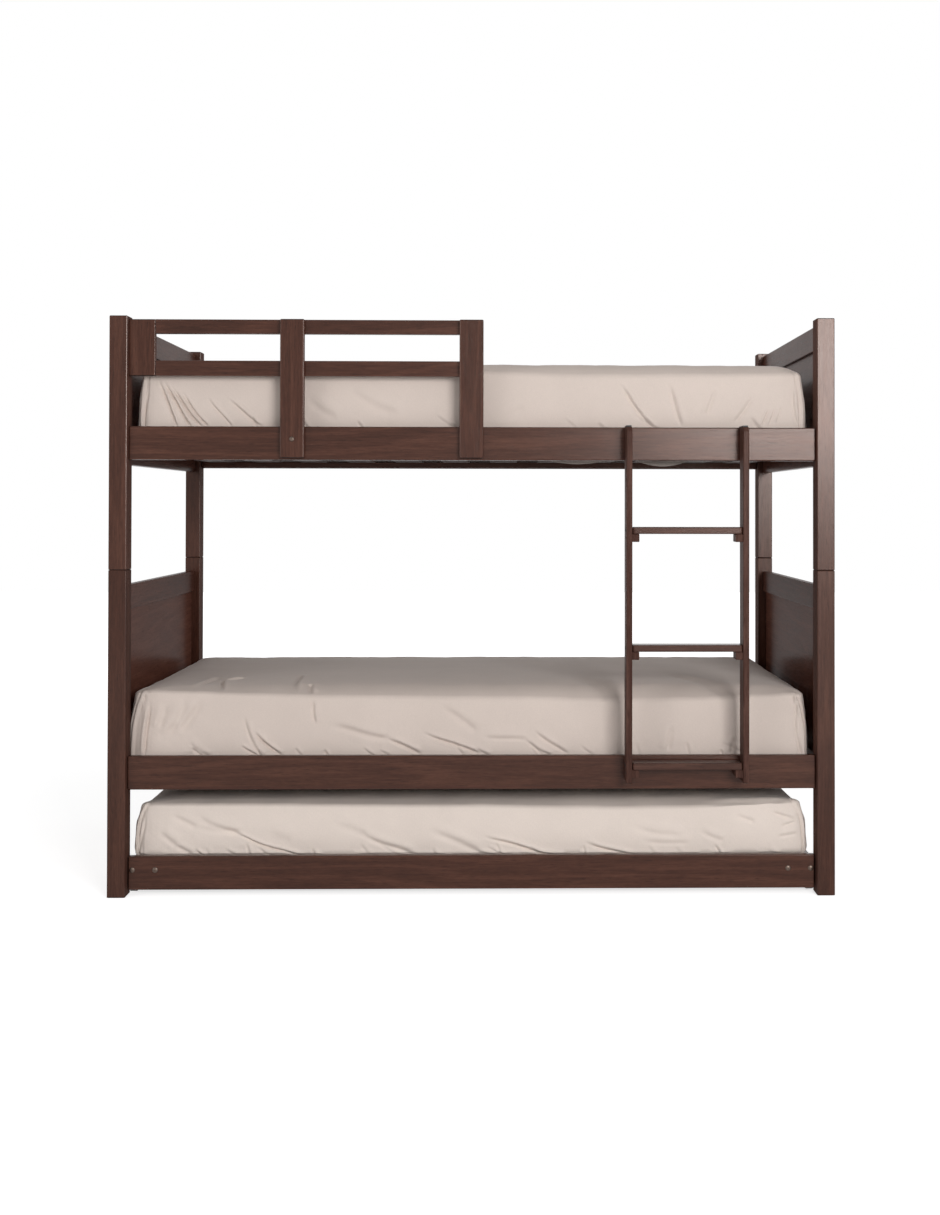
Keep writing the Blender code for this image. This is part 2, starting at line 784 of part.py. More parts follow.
def wheel_mesh():
    half = wheel_width / 2
    bore = axle_radius + wheel_bore_clearance
    upper = [(bore, half), (wheel_radius - wheel_edge, half), (wheel_radius, half - wheel_edge)]
    lower = [(radius, -height) for radius, height in reversed(upper)]
    return turned_mesh("wheel", upper + lower, wheel_steps, closed=True)


def axle_mesh():
    """A stub axle whose collar bears on the board at height zero and whose head keeps the wheel on."""
    wheel_end = axle_collar_thickness + 2 * wheel_side_gap + wheel_width
    profile = [
        (0.0, wheel_end + axle_head_thickness),
        (axle_head_radius, wheel_end + axle_head_thickness),
        (axle_head_radius, wheel_end),
        (axle_radius, wheel_end),
        (axle_radius, axle_collar_thickness),
        (axle_collar_radius, axle_collar_thickness),
        (axle_collar_radius, 0.0),
        (axle_radius, 0.0),
        (axle_radius, -axle_grip),
        (0.0, -axle_grip),
    ]
    return turned_mesh("axle", profile, axle_steps)


def add_wheels(ends, pivot):
    wheel = wheel_mesh()
    axle = axle_mesh()
    hole = plain_hole(axle_radius + wheel_bore_clearance, axle_grip + touch_gap, axle_steps)
    collar_x = trundle_end_inner - touch_gap
    wheel_x = collar_x - axle_collar_thickness - wheel_side_gap - wheel_width / 2
    wheel_ys = {"front": trundle_front + wheel_end_margin, "back": trundle_back - wheel_end_margin}
    for side, side_sign in sides.items():
        placements = []
        for depth, y in wheel_ys.items():
            wheel_place = (side_sign * wheel_x, y, wheel_radius)
            turned = repeated_mesh("wheel", wheel, [headings["+X"]])
            add_piece(f"trundle_wheel_{depth}_{side}", turned, wheel_place, "wheel_nylon", pivot)
            axle_place = (side_sign * collar_x, y, wheel_radius)
            turned = repeated_mesh("axle", axle, [headings[inward[side]]])
            add_piece(f"trundle_axle_{depth}_{side}", turned, axle_place, "steel", pivot)
            placements.append(placed((side_sign * trundle_end_inner, y, wheel_radius), inward[side]))
        drill(f"axle_holes_{side}", hole, placements, [ends[side]])


def build_bunk_bed():
    posts = add_posts()
    add_dowels(posts)
    for level in rail_bottoms:
        for side in sides:
            add_end_frame(level, side, posts)
    rails = add_side_rails(posts)
    add_decks()
    add_guard(posts, rails)
    beige = "beige_cotton"
    add_bedding("lower", mattress_height, lower_mattress_shift, bed_middle_y, deck_heights["lower"], beige)
    add_bedding("upper", mattress_height, 0.0, bed_middle_y, deck_heights["upper"], beige)
    add_ladder()
    trundle = add_trundle()
    height = trundle_mattress_height
    shift = trundle_mattress_shift
    add_bedding("trundle", height, shift, trundle_middle_y, trundle_deck, "cream_cotton", trundle)


build_bunk_bed()
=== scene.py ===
import math
import random

import bmesh
import bpy
import numpy as np
from mathutils import Matrix, Vector, noise


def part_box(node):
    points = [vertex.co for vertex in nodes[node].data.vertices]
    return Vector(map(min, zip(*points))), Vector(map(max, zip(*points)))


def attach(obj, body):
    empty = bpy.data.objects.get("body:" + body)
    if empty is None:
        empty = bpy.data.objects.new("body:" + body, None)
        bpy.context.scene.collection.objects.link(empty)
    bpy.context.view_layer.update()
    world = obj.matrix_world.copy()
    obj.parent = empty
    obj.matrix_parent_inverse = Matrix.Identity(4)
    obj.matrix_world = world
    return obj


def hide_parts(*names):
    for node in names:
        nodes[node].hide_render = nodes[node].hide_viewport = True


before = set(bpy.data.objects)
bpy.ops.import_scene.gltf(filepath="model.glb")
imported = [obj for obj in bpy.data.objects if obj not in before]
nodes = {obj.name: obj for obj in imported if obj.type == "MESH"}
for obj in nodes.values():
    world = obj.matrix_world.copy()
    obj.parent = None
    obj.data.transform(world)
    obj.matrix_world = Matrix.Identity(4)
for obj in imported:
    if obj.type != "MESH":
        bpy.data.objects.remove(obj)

# Looks of a walnut-stained bunk bed with a trundle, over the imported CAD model. Metres, the same frame.

scene = bpy.context.scene
scene.view_settings.view_transform = "Standard"
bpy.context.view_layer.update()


# Camera, lamps and floor

cameraSetup = {
    "place": (0.09676, -4.70493, 1.09431),
    "yaw": 0.01947,
    "pitch": 0.01159,
    "roll": 0.00152,
    "focal": 1500.17,            # in pixels of the photo, as are its middle and its size
    "middle": (537.19, 487.10),
    "size": (940, 1215),
    "sensor": 36.0,              # mm
}


def placeCamera(setup):
    turn = Matrix.Rotation(-setup["yaw"], 3, "Z") @ Matrix.Rotation(math.pi / 2 + setup["pitch"], 3, "X")
    turn = turn @ Matrix.Rotation(setup["roll"], 3, "Z")
    data = bpy.data.cameras.new("photoCamera")
    camera = bpy.data.objects.new("photoCamera", data)
    scene.collection.objects.link(camera)
    camera.matrix_world = Matrix.Translation(setup["place"]) @ turn.to_4x4()
    width, height = setup["size"]
    data.sensor_width = setup["sensor"]
    data.lens = setup["focal"] / height * setup["sensor"]
    data.shift_x = (width / 2 - setup["middle"][0]) / height
    data.shift_y = (setup["middle"][1] - height / 2) / height
    scene.camera = camera


# Each lamp is a soft panel: where it stands, what it faces, its size and its power in watts. One that doesn't light
# what is matt shows in the lacquer alone
lamps = {
    "keyPanel": {
        "place": (2.2, -6.0, 2.15), "aim": (0.3, 0.0, 0.9), "size": (2.2, 1.5), "watts": 190.0, "lights": True,
    },
    "sheenPanel": {
        "place": (2.4, -6.0, 1.75), "aim": (0.9, 0.0, 1.3), "size": (2.0, 1.7), "watts": 60.0, "lights": False,
    },
    "fillPanel": {
        "place": (-4.4, -4.6, 2.2), "aim": (0.0, 0.0, 1.4), "size": (2.0, 2.0), "watts": 44.0, "lights": True,
    },
}

roomLooks = {
    "white": (1.0, 1.0, 1.0, 1.0),
    "worldStrength": 0.32,
    "floorColor": (0.86, 0.86, 0.86, 1.0),
    "floorRoughness": 0.9,
    "floorHalf": 14.0,
    "glow": (0.70, 1.0),         # what the floor adds for the camera close to the bed, and far from it
    "glowReach": (1.6, 6.0),     # how far out each of the two is
}


def placeLamps():
    for name, setup in lamps.items():
        data = bpy.data.lights.new(name, "AREA")
        data.shape = "RECTANGLE"
        data.size, data.size_y = setup["size"]
        data.energy = setup["watts"]
        lamp = bpy.data.objects.new(name, data)
        scene.collection.objects.link(lamp)
        lamp.visible_diffuse = setup["lights"]
        lamp.location = setup["place"]
        lamp.rotation_euler = (Vector(setup["aim"]) - Vector(setup["place"])).to_track_quat("-Z", "Y").to_euler()


def newMaterial(name):
    material = bpy.data.materials.new(name)
    material.use_nodes = True
    tree = material.node_tree
    return material, tree, tree.nodes["Principled BSDF"]


def setInputs(tree, node, values):
    # each value is a constant or the socket of another node
    for key, value in values.items():
        if isinstance(value, bpy.types.NodeSocket):
            tree.links.new(value, node.inputs[key])
        else:
            node.inputs[key].default_value = value


def addNode(tree, kind, settings=None, values=None):
    node = tree.nodes.new(kind)
    for key, value in (settings or {}).items():
        setattr(node, key, value)
    setInputs(tree, node, values or {})
    return node


def objectPlace(tree):
    return addNode(tree, "ShaderNodeTexCoord").outputs["Object"]


def compute(tree, operation, *values):
    return addNode(tree, "ShaderNodeMath", {"operation": operation}, dict(enumerate(values))).outputs[0]


def mapRange(tree, value, source, target, settings=None):
    values = {
        "Value": value, "From Min": source[0], "From Max": source[1], "To Min": target[0], "To Max": target[1],
    }
    return addNode(tree, "ShaderNodeMapRange", settings, values).outputs[0]


def noiseCloud(tree, place, scale, detail, roughness, distortion=0.0):
    values = {"Vector": place, "Scale": scale, "Detail": detail, "Roughness": roughness, "Distortion": distortion}
    return addNode(tree, "ShaderNodeTexNoise", values=values).outputs["Fac"]


def multiplyColor(tree, color, factor):
    values = {"Factor": 1.0, "A": color, "B": factor}
    return addNode(tree, "ShaderNodeMix", {"data_type": "RGBA", "blend_type": "MULTIPLY"}, values).outputs["Result"]


def makeBump(tree, height, strength, distance):
    values = {"Height": height, "Strength": strength, "Distance": distance}
    return addNode(tree, "ShaderNodeBump", values=values).outputs[0]


smoothStep = {"interpolation_type": "SMOOTHSTEP"}


def shownRays(tree):
    # 1 for the camera's own rays and for those that gloss or glass sends on, 0 for the rest
    rays = addNode(tree, "ShaderNodeLightPath").outputs
    direct = compute(tree, "MAXIMUM", rays["Is Camera Ray"], rays["Is Glossy Ray"])
    return compute(tree, "MAXIMUM", direct, rays["Is Transmission Ray"])


def placeRoom(looks):
    world = bpy.data.worlds.new("plainRoom")
    scene.world = world
    world.use_nodes = True
    tree = world.node_tree
    tree.nodes.clear()
    ambient, white = (
        addNode(tree, "ShaderNodeBackground", values={"Color": looks["white"], "Strength": strength}).outputs[0]
        for strength in (looks["worldStrength"], 1.0)
    )
    mix = addNode(tree, "ShaderNodeMixShader", values={0: shownRays(tree), 1: ambient, 2: white})
    addNode(tree, "ShaderNodeOutputWorld", values={"Surface": mix.outputs[0]})

    half = looks["floorHalf"]
    corners = [(-half, -half, 0.0), (half, -half, 0.0), (half, half, 0.0), (-half, half, 0.0)]
    mesh = bpy.data.meshes.new("floor")
    mesh.from_pydata(corners, [], [(0, 1, 2, 3)])
    floor = bpy.data.objects.new("floor", mesh)
    scene.collection.objects.link(floor)
    material, tree, shader = newMaterial("paleFloor")
    mesh.materials.append(material)
    distance = addNode(tree, "ShaderNodeVectorMath", {"operation": "LENGTH"}, {0: objectPlace(tree)}).outputs["Value"]
    glow = mapRange(tree, distance, looks["glowReach"], looks["glow"], smoothStep)
    setInputs(tree, shader, {
        "Base Color": looks["floorColor"],
        "Roughness": looks["floorRoughness"],
        "Specular IOR Level": 0.0,
        "Emission Color": looks["white"],
        "Emission Strength": compute(tree, "MULTIPLY", glow, shownRays(tree)),
    })


# Wood. Each board has its own stretch of grain, cut from one stained stock

walnutLooks = {
    "dark": (0.0210, 0.0070, 0.0042),
    "middle": (0.0640, 0.0230, 0.0145),
    "light": (0.1240, 0.0500, 0.0320),
    "rough": (0.20, 0.28),
    "rings": 52.0,               # how many arched lines a plank's figure has
    "figureShare": 0.16,
    "poreDepth": 0.00022,
    "sheenTint": (1.0, 0.86, 0.80, 1.0),
    "endReach": 0.0030,          # how far the darker stain of the cut ends reaches in; the darker ends also paint the shade in the joints
    "endStainAndShade": 0.30,
}

slatLooks = walnutLooks | {
    "dark": (0.0200, 0.0085, 0.0060),
    "middle": (0.0420, 0.0185, 0.0130),
    "light": (0.0700, 0.0330, 0.0240),
    "rough": (0.50, 0.66),
    "rings": 40.0,
    "figureShare": 0.15,
    "poreDepth": 0.0001,
    "endStainAndShade": 0.6,
}

# The noises of the grain: scale along it and across it, detail, roughness and distortion
grainNoises = {
    "bands": (1.3, 46.0, 4.0, 0.55, 0.0),
    "mottle": (42.0, 190.0, 2.0, 0.6, 0.0),
    "drift": (0.9, 5.0, 2.0, 0.5, 0.0),
    "arches": (0.75, 8.5, 1.5, 0.4, 0.25),
    "pores": (26.0, 640.0, 2.0, 0.6, 0.0),
    "fibres": (9.0, 170.0, 3.0, 0.70, 0.0),
}

grainLooks = {
    "shift": 20.0,               # how far apart two boards can lie in the noises, either way
    "bandRange": (0.30, 0.70),
    "bandLevel": (-0.34, -0.22),
    "figureRange": (-0.2, 1.0),
    "driftShare": 0.45,
    "fibreShare": 0.75,
    "mottleShare": 0.30,
    "poreRange": (0.30, 0.42),
    "poreShade": (0.50, 1.0),
    "fibreRange": (0.2, 0.8),
    "fibreHeight": 0.6,
    "bump": 0.35,
    "flankReach": (0.0022, 0.0008),   # how deep behind the front and back a flank is dull, and where that starts
}

# Which way the grain of each kind of board runs, and where it departs from a plain board: how light and how grey its
# stain is, how much it shines, how strong its grain is, and how dull its flanks are, between its front and back.
# The lightness also paints the light and shade that fall on each kind: the end panels and ladder stiles are painted
# lighter, the lower posts and rails darker
plainBoard = {"stainAndLightTone": 1.0, "grey": 0.0, "specular": 0.24, "ior": 1.5, "contrast": 1.0, "flank": 0.0}
boardKinds = {
    "lower_end_panel": {"grain": "Y", "stainAndLightTone": 2.2, "grey": 0.12, "specular": 0.022, "ior": 1.15, "contrast": 0.45},
    "lower_end_top": {"grain": "Y", "stainAndLightTone": 1.7, "grey": 0.15, "specular": 0.027, "ior": 1.15, "contrast": 0.7},
    "panel": {"grain": "Y", "stainAndLightTone": 2.2, "grey": 0.30, "specular": 0.12, "ior": 1.15, "contrast": 0.45},
    "trundle_end": {"grain": "Y"},
    "_end_": {"grain": "Y", "stainAndLightTone": 1.8, "grey": 0.15, "specular": 0.14, "ior": 1.15, "contrast": 0.7},
    "guard_left_stile": {"grain": "Z", "flank": 0.8},
    "ladder_stile": {"grain": "Z", "stainAndLightTone": 1.35, "grey": 0.30, "specular": 0.8, "ior": 1.1, "flank": 0.50},
    "lower_post": {"grain": "Z", "stainAndLightTone": 0.88, "specular": 0.80, "ior": 1.25, "flank": 0.85},
    "post": {"grain": "Z", "specular": 0.66, "ior": 1.3, "flank": 0.85},
    "rung": {"grain": "X", "stainAndLightTone": 0.95, "grey": 0.1},
    "lower_side_rail": {"grain": "X", "stainAndLightTone": 0.90},
    "rail": {"grain": "X", "specular": 0.28},
    "board": {"grain": "X", "stainAndLightTone": 0.98},
    "slats": {"grain": "Y", "specular": 0.12},
}

grainTurns = {"X": (0.0, 0.0, 0.0), "Y": (0.0, 0.0, -math.pi / 2), "Z": (0.0, math.pi / 2, 0.0)}


def woodMaterial(name, looks, kind, low, high, seed):
    pick = random.Random(seed)
    material, tree, shader = newMaterial(name)
    place = objectPlace(tree)
    turn = {"Vector": place, "Rotation": grainTurns[kind["grain"]]}
    turned = addNode(tree, "ShaderNodeMapping", values=turn).outputs[0]
    shift = tuple(pick.uniform(-grainLooks["shift"], grainLooks["shift"]) for axis in range(3))

    def grainCloud(along, across, *rest):
        stretch = {"Vector": turned, "Scale": (along, across, across), "Location": shift}
        return noiseCloud(tree, addNode(tree, "ShaderNodeMapping", values=stretch).outputs[0], 1.0, *rest)

    def stain(shade):
        color = [middle + (value - middle) * kind["contrast"] for value, middle in zip(looks[shade], looks["middle"])]
        level = sum(color) / 3
        mixed = [value + (level - value) * kind["grey"] for value in color]
        # the kind's lightness scales the stain, and with it paints the light and shade that fall on that kind
        return (*(value * kind["stainAndLightTone"] for value in mixed), 1.0)

    def fromMiddle(axis):
        # how far a point lies from the board's middle along an axis, and how far the board's faces do
        distance = compute(tree, "ABSOLUTE", compute(tree, "SUBTRACT", axes[axis], (low[axis] + high[axis]) / 2))
        return distance, (high[axis] - low[axis]) / 2

    axes = addNode(tree, "ShaderNodeSeparateXYZ", values={0: place}).outputs
    clouds = {key: grainCloud(*values) for key, values in grainNoises.items()}
    wave = compute(tree, "SINE", compute(tree, "MULTIPLY", clouds["arches"], looks["rings"]))
    figure = mapRange(tree, wave, grainLooks["figureRange"], (0.0, 1.0), smoothStep)

    # bands, drift, figure, fibres and mottle add up to one lightness that the ramp turns into stain
    total = mapRange(tree, clouds["bands"], grainLooks["bandRange"], grainLooks["bandLevel"], {"clamp": False})
    for source, share in (
        (clouds["drift"], grainLooks["driftShare"]),
        (figure, looks["figureShare"]),
        (clouds["fibres"], grainLooks["fibreShare"]),
        (clouds["mottle"], grainLooks["mottleShare"]),
    ):
        total = compute(tree, "MULTIPLY_ADD", source, share, total)
    base = addNode(tree, "ShaderNodeValToRGB", values={"Fac": total})
    ramp = base.color_ramp
    ramp.elements[0].color = stain("dark")
    ramp.elements[1].color = stain("light")
    ramp.elements.new(0.5).color = stain("middle")

    # cut fibres at a board's two ends drink more stain, and the darker ends also paint the shade that falls in the
    # joints between boards
    distance, half = fromMiddle("XYZ".index(kind["grain"]))
    endRange = half - looks["endReach"], half - 0.2 * looks["endReach"]
    ends = mapRange(tree, distance, endRange, (1.0, looks["endStainAndShade"]), smoothStep)

    # open pores: short dark dashes that lie lower than the lacquer
    pores = mapRange(tree, clouds["pores"], grainLooks["poreRange"], grainLooks["poreShade"])
    height = compute(tree, "MULTIPLY_ADD", clouds["fibres"], grainLooks["fibreHeight"], pores)

    # the lacquer is rubbed out on the front and the back, and left dull on the flanks
    away, half = fromMiddle(1)
    flankRange = [half - reach for reach in grainLooks["flankReach"]]
    flank = mapRange(tree, away, flankRange, (kind["flank"], 0.0))
    rubbed = mapRange(tree, clouds["fibres"], grainLooks["fibreRange"], looks["rough"])
    setInputs(tree, shader, {
        "Base Color": multiplyColor(tree, base.outputs["Color"], compute(tree, "MULTIPLY", pores, ends)),
        "Roughness": compute(tree, "MAXIMUM", rubbed, flank),
        "Specular IOR Level": kind["specular"],
        "Specular Tint": looks["sheenTint"],
        "IOR": kind["ior"],
        "Normal": makeBump(tree, height, grainLooks["bump"], looks["poreDepth"]),
    })
    return material


def dressNode(name, material):
    nodes[name].data.materials.clear()
    nodes[name].data.materials.append(material)


def dressWood():
    seed = 11
    for name in sorted(nodes):
        kind = next((setup for word, setup in boardKinds.items() if word in name), None)
        if kind is None or "mattress" in name or "sheet" in name:
            continue
        seed += 1
        looks = slatLooks if "slats" in name else walnutLooks
        dressNode(name, woodMaterial(name + "Walnut", looks, plainBoard | kind, *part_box(name), seed))


# Steel, nylon and cotton

hardLooks = {
    "bronzeSteel": {"color": (0.115, 0.085, 0.070), "roughness": 0.42, "grit": 900.0, "metallic": 1.0},
    "blackSteel": {"color": (0.018, 0.018, 0.019), "roughness": 0.5, "grit": 1200.0, "metallic": 0.0},
    "darkNylon": {"color": (0.022, 0.022, 0.024), "roughness": 0.55, "grit": 700.0, "metallic": 0.0},
}
hardNodes = {"axle": "bronzeSteel", "bolt": "bronzeSteel", "hook": "blackSteel", "wheel": "darkNylon"}

gritLooks = {
    "range": (0.3, 0.7),         # the part of a noise that a tint or a roughness follows
    "tint": (0.82, 1.12),
    "rougher": (-0.06, 0.08),
    "bump": 0.15,
    "depth": 0.0001,
}


def hardMaterial(name, setup, looks):
    material, tree, shader = newMaterial(name)
    grit = noiseCloud(tree, objectPlace(tree), setup["grit"], 3.0, 0.6)
    tint = mapRange(tree, grit, looks["range"], looks["tint"])
    rough = [setup["roughness"] + change for change in looks["rougher"]]
    setInputs(tree, shader, {
        "Metallic": setup["metallic"],
        "Base Color": multiplyColor(tree, (*setup["color"], 1.0), tint),
        "Roughness": mapRange(tree, grit, looks["range"], rough),
        "Normal": makeBump(tree, grit, looks["bump"], looks["depth"]),
    })
    return material


cottonLooks = {
    "beige": (0.715, 0.612, 0.550, 1.0),
    "cream": (0.850, 0.745, 0.672, 1.0),
    # the hem's cotton is the sheet's own, painted darker with the shade that it hangs in under the rail
    "hem": (0.380, 0.325, 0.295, 1.0),
    "ticking": (0.640, 0.620, 0.580, 1.0),
    "roughness": 0.92,
    "sheen": 0.12,
    "sheenRoughness": 0.45,
    "specular": 0.2,
    "range": (0.3, 0.7),
    "broadTint": (0.965, 1.02),
    "slubTint": (0.955, 1.03),
    "ribs": {"X": 45.0, "DIAGONAL": 37.5},   # the scales of the knit's two sets of ribs
    "ribDepth": 0.00012,
    "bump": 0.25,
}


def cottonMaterial(name, color, looks):
    material, tree, shader = newMaterial(name)
    place = objectPlace(tree)
    broad = mapRange(tree, noiseCloud(tree, place, 5.0, 4.0, 0.6), looks["range"], looks["broadTint"])
    slub = noiseCloud(tree, place, 420.0, 2.0, 0.7)
    speck = mapRange(tree, slub, looks["range"], looks["slubTint"])
    knit = compute(tree, "ADD", *(
        addNode(
            tree, "ShaderNodeTexWave", {"wave_type": "BANDS", "bands_direction": direction},
            {"Vector": place, "Scale": scale, "Distortion": 0.6, "Detail": 1.0},
        ).outputs["Fac"]
        for direction, scale in looks["ribs"].items()
    ))
    setInputs(tree, shader, {
        "Base Color": multiplyColor(tree, color, compute(tree, "MULTIPLY", broad, speck)),
        "Roughness": looks["roughness"],
        "Sheen Weight": looks["sheen"],
        "Sheen Roughness": looks["sheenRoughness"],
        "Specular IOR Level": looks["specular"],
        "Normal": makeBump(tree, compute(tree, "MULTIPLY_ADD", slub, 0.5, knit), looks["bump"], looks["ribDepth"]),
    })
    return material


# Mattresses and fitted sheets: a rounded block, crowned on top, with the folds of the cloth pressed into its sides

# A fold is a valley with a ridge above it: start, end, half width and depth. On the front its places are (x, z),
# on the top (x, y). "ends" are the sheet's two ends at its foot, and "ridge" is how far the front's top edge lies
# under that of a plain block, as (x, drop). "lean" is how far each end draws in up to the top.
# "seam" is where the corners' seams run at foot and top, from where the flat front starts to turn, and "tucks" counts
# the small folds along the foot, which shows down to "footShown" over the rail.
beds = {
    "upper": {
        "color": "beige",
        "crown": 0.010,
        "ends": (-0.956, 0.953),
        "lean": (0.008, 0.008),
        "seam": (-0.026, -0.020),
        "tucks": 9,
        "footShown": 1.312,
        "ridge": ((-0.95, 0.0170), (-0.60, 0.0146), (0.0, 0.0206), (0.30, 0.0310), (0.60, 0.0286), (0.93, 0.0226)),
        "front": [
            ((-0.893, 1.452), (-0.836, 1.312), 0.0032, 0.0074),
            ((-0.880, 1.445), (-0.797, 1.312), 0.0032, 0.0084),
            ((-0.862, 1.432), (-0.768, 1.312), 0.0032, 0.0076),
            ((-0.832, 1.415), (-0.750, 1.312), 0.0030, 0.0058),
            ((-0.755, 1.400), (-0.686, 1.312), 0.0030, 0.0044),
            ((-0.706, 1.398), (-0.599, 1.314), 0.0034, 0.0052),
            ((-0.370, 1.422), (-0.219, 1.346), 0.0120, 0.0040),
            ((-0.477, 1.393), (-0.391, 1.336), 0.0110, 0.0034),
            ((0.409, 1.443), (0.506, 1.316), 0.0044, 0.0052),
            ((0.549, 1.450), (0.592, 1.318), 0.0060, 0.0044),
            ((0.061, 1.328), (0.140, 1.371), 0.0110, 0.0022),
            ((0.797, 1.415), (0.743, 1.326), 0.0050, 0.0036),
            ((0.686, 1.429), (0.664, 1.350), 0.0050, 0.0028),
            ((0.838, 1.372), (0.822, 1.320), 0.0028, 0.0030),
            ((0.858, 1.375), (0.842, 1.320), 0.0028, 0.0026),
            ((0.880, 1.380), (0.862, 1.326), 0.0030, 0.0022),
            ((-0.922, 1.450), (-0.932, 1.316), 0.0040, 0.0030),
            ((0.905, 1.440), (0.922, 1.316), 0.0040, 0.0030),
        ],
        "top": [],
    },
    "lower": {
        "color": "beige",
        "crown": 0.012,
        "ends": (-0.980, 0.956),
        "lean": (0.012, 0.006),
        "seam": (-0.0235, 0.001),
        "tucks": 15,
        "footShown": 0.388,
        "ridge": (
            (-0.96, 0.0040), (-0.91, 0.0000), (-0.744, 0.0040), (-0.606, 0.0110), (-0.446, 0.0170), (-0.19, 0.0200),
            (0.012, 0.0220), (0.228, 0.0244), (0.409, 0.0288), (0.50, 0.0310), (0.647, 0.0250), (0.745, 0.0194),
            (0.857, 0.0140), (0.92, 0.0098),
        ),
        "front": [
            ((-0.764, 0.548), (-0.822, 0.452), 0.0095, 0.0050),
            ((-0.806, 0.545), (-0.860, 0.440), 0.0090, 0.0046),
            ((-0.862, 0.535), (-0.884, 0.460), 0.0080, 0.0034),
            ((-0.652, 0.500), (-0.606, 0.386), 0.0050, 0.0040),
            ((-0.800, 0.408), (-0.762, 0.384), 0.0034, 0.0040),
            ((-0.914, 0.545), (-0.928, 0.386), 0.0040, 0.0062),
            ((-0.622, 0.455), (-0.545, 0.383), 0.0040, 0.0078),
            ((-0.660, 0.410), (-0.608, 0.384), 0.0034, 0.0044),
            ((-0.452, 0.545), (-0.450, 0.476), 0.0050, 0.0042),
            ((-0.415, 0.472), (-0.241, 0.431), 0.0080, 0.0048),
            ((-0.250, 0.434), (-0.150, 0.388), 0.0050, 0.0060),
            ((-0.150, 0.452), (0.022, 0.388), 0.0044, 0.0064),
            ((-0.101, 0.529), (0.011, 0.452), 0.0100, 0.0040),
            ((0.018, 0.438), (0.150, 0.427), 0.0060, 0.0028),
            ((0.140, 0.430), (0.224, 0.380), 0.0044, 0.0044),
            ((0.165, 0.459), (0.266, 0.385), 0.0050, 0.0046),
            ((0.400, 0.535), (0.402, 0.386), 0.0160, 0.0034),
            ((0.566, 0.472), (0.552, 0.396), 0.0070, 0.0030),
            ((0.730, 0.535), (0.724, 0.385), 0.0140, 0.0036),
            ((0.745, 0.438), (0.731, 0.386), 0.0060, 0.0036),
            ((0.915, 0.535), (0.926, 0.386), 0.0040, 0.0032),
        ],
        "top": [
            ((-0.713, -0.430), (-0.735, -0.285), 0.0060, 0.0060),
            ((-0.735, -0.285), (-0.680, -0.235), 0.0070, 0.0044),
            ((-0.504, -0.430), (-0.520, -0.190), 0.0070, 0.0050),
            ((-0.456, -0.430), (-0.470, -0.360), 0.0060, 0.0060),
            ((-0.790, -0.414), (-0.760, -0.216), 0.0080, 0.0040),
            ((0.560, -0.120), (0.720, -0.440), 0.0180, 0.0046),
            ((0.300, -0.250), (0.390, -0.440), 0.0200, 0.0034),
        ],
    },
    "trundle": {
        "color": "cream",
        "crown": 0.012,
        "ends": (-0.9610, 0.9540),
        "lean": (0.012, 0.014),
        "seam": (-0.036, -0.012),
        "tucks": 15,
        "footShown": 0.102,
        "ridge": (
            (-0.92, -0.0060), (-0.606, -0.0032), (-0.328, -0.0005), (0.019, 0.0011), (0.228, 0.0057), (0.41, 0.0090),
            (0.627, 0.0060), (0.746, -0.0042), (0.858, -0.0100), (0.92, -0.0105),
        ),
        "front": [
            ((-0.800, 0.220), (-0.660, 0.160), 0.0080, 0.0040),
            ((-0.690, 0.171), (-0.484, 0.097), 0.0036, 0.0066),
            ((-0.855, 0.214), (-0.780, 0.181), 0.0080, 0.0036),
            ((-0.790, 0.184), (-0.655, 0.164), 0.0080, 0.0030),
            ((-0.885, 0.172), (-0.840, 0.128), 0.0080, 0.0032),
            ((-0.850, 0.133), (-0.790, 0.104), 0.0060, 0.0034),
            ((-0.585, 0.170), (-0.515, 0.136), 0.0120, 0.0020),
            ((-0.786, 0.120), (-0.750, 0.098), 0.0032, 0.0036),
            ((-0.700, 0.118), (-0.668, 0.100), 0.0036, 0.0026),
            ((-0.400, 0.190), (-0.300, 0.158), 0.0110, 0.0026),
            ((-0.331, 0.167), (-0.160, 0.099), 0.0070, 0.0048),
            ((-0.136, 0.181), (0.022, 0.108), 0.0090, 0.0040),
            ((0.018, 0.160), (0.246, 0.095), 0.0044, 0.0064),
            ((0.000, 0.116), (0.078, 0.096), 0.0044, 0.0034),
            ((0.311, 0.139), (0.455, 0.096), 0.0044, 0.0056),
            ((0.430, 0.184), (0.595, 0.150), 0.0090, 0.0026),
            ((0.470, 0.143), (0.612, 0.131), 0.0070, 0.0022),
            ((0.640, 0.171), (0.710, 0.139), 0.0070, 0.0026),
            ((0.740, 0.210), (0.800, 0.194), 0.0060, 0.0026),
            ((0.840, 0.226), (0.915, 0.196), 0.0050, 0.0032),
            ((0.872, 0.178), (0.918, 0.192), 0.0044, 0.0030),
            ((0.860, 0.150), (0.920, 0.158), 0.0050, 0.0024),
            ((-0.925, 0.225), (-0.942, 0.104), 0.0044, 0.0032),
        ],
        "top": [
            ((0.640, -0.420), (0.900, -0.430), 0.0120, 0.0036),
        ],
    },
}

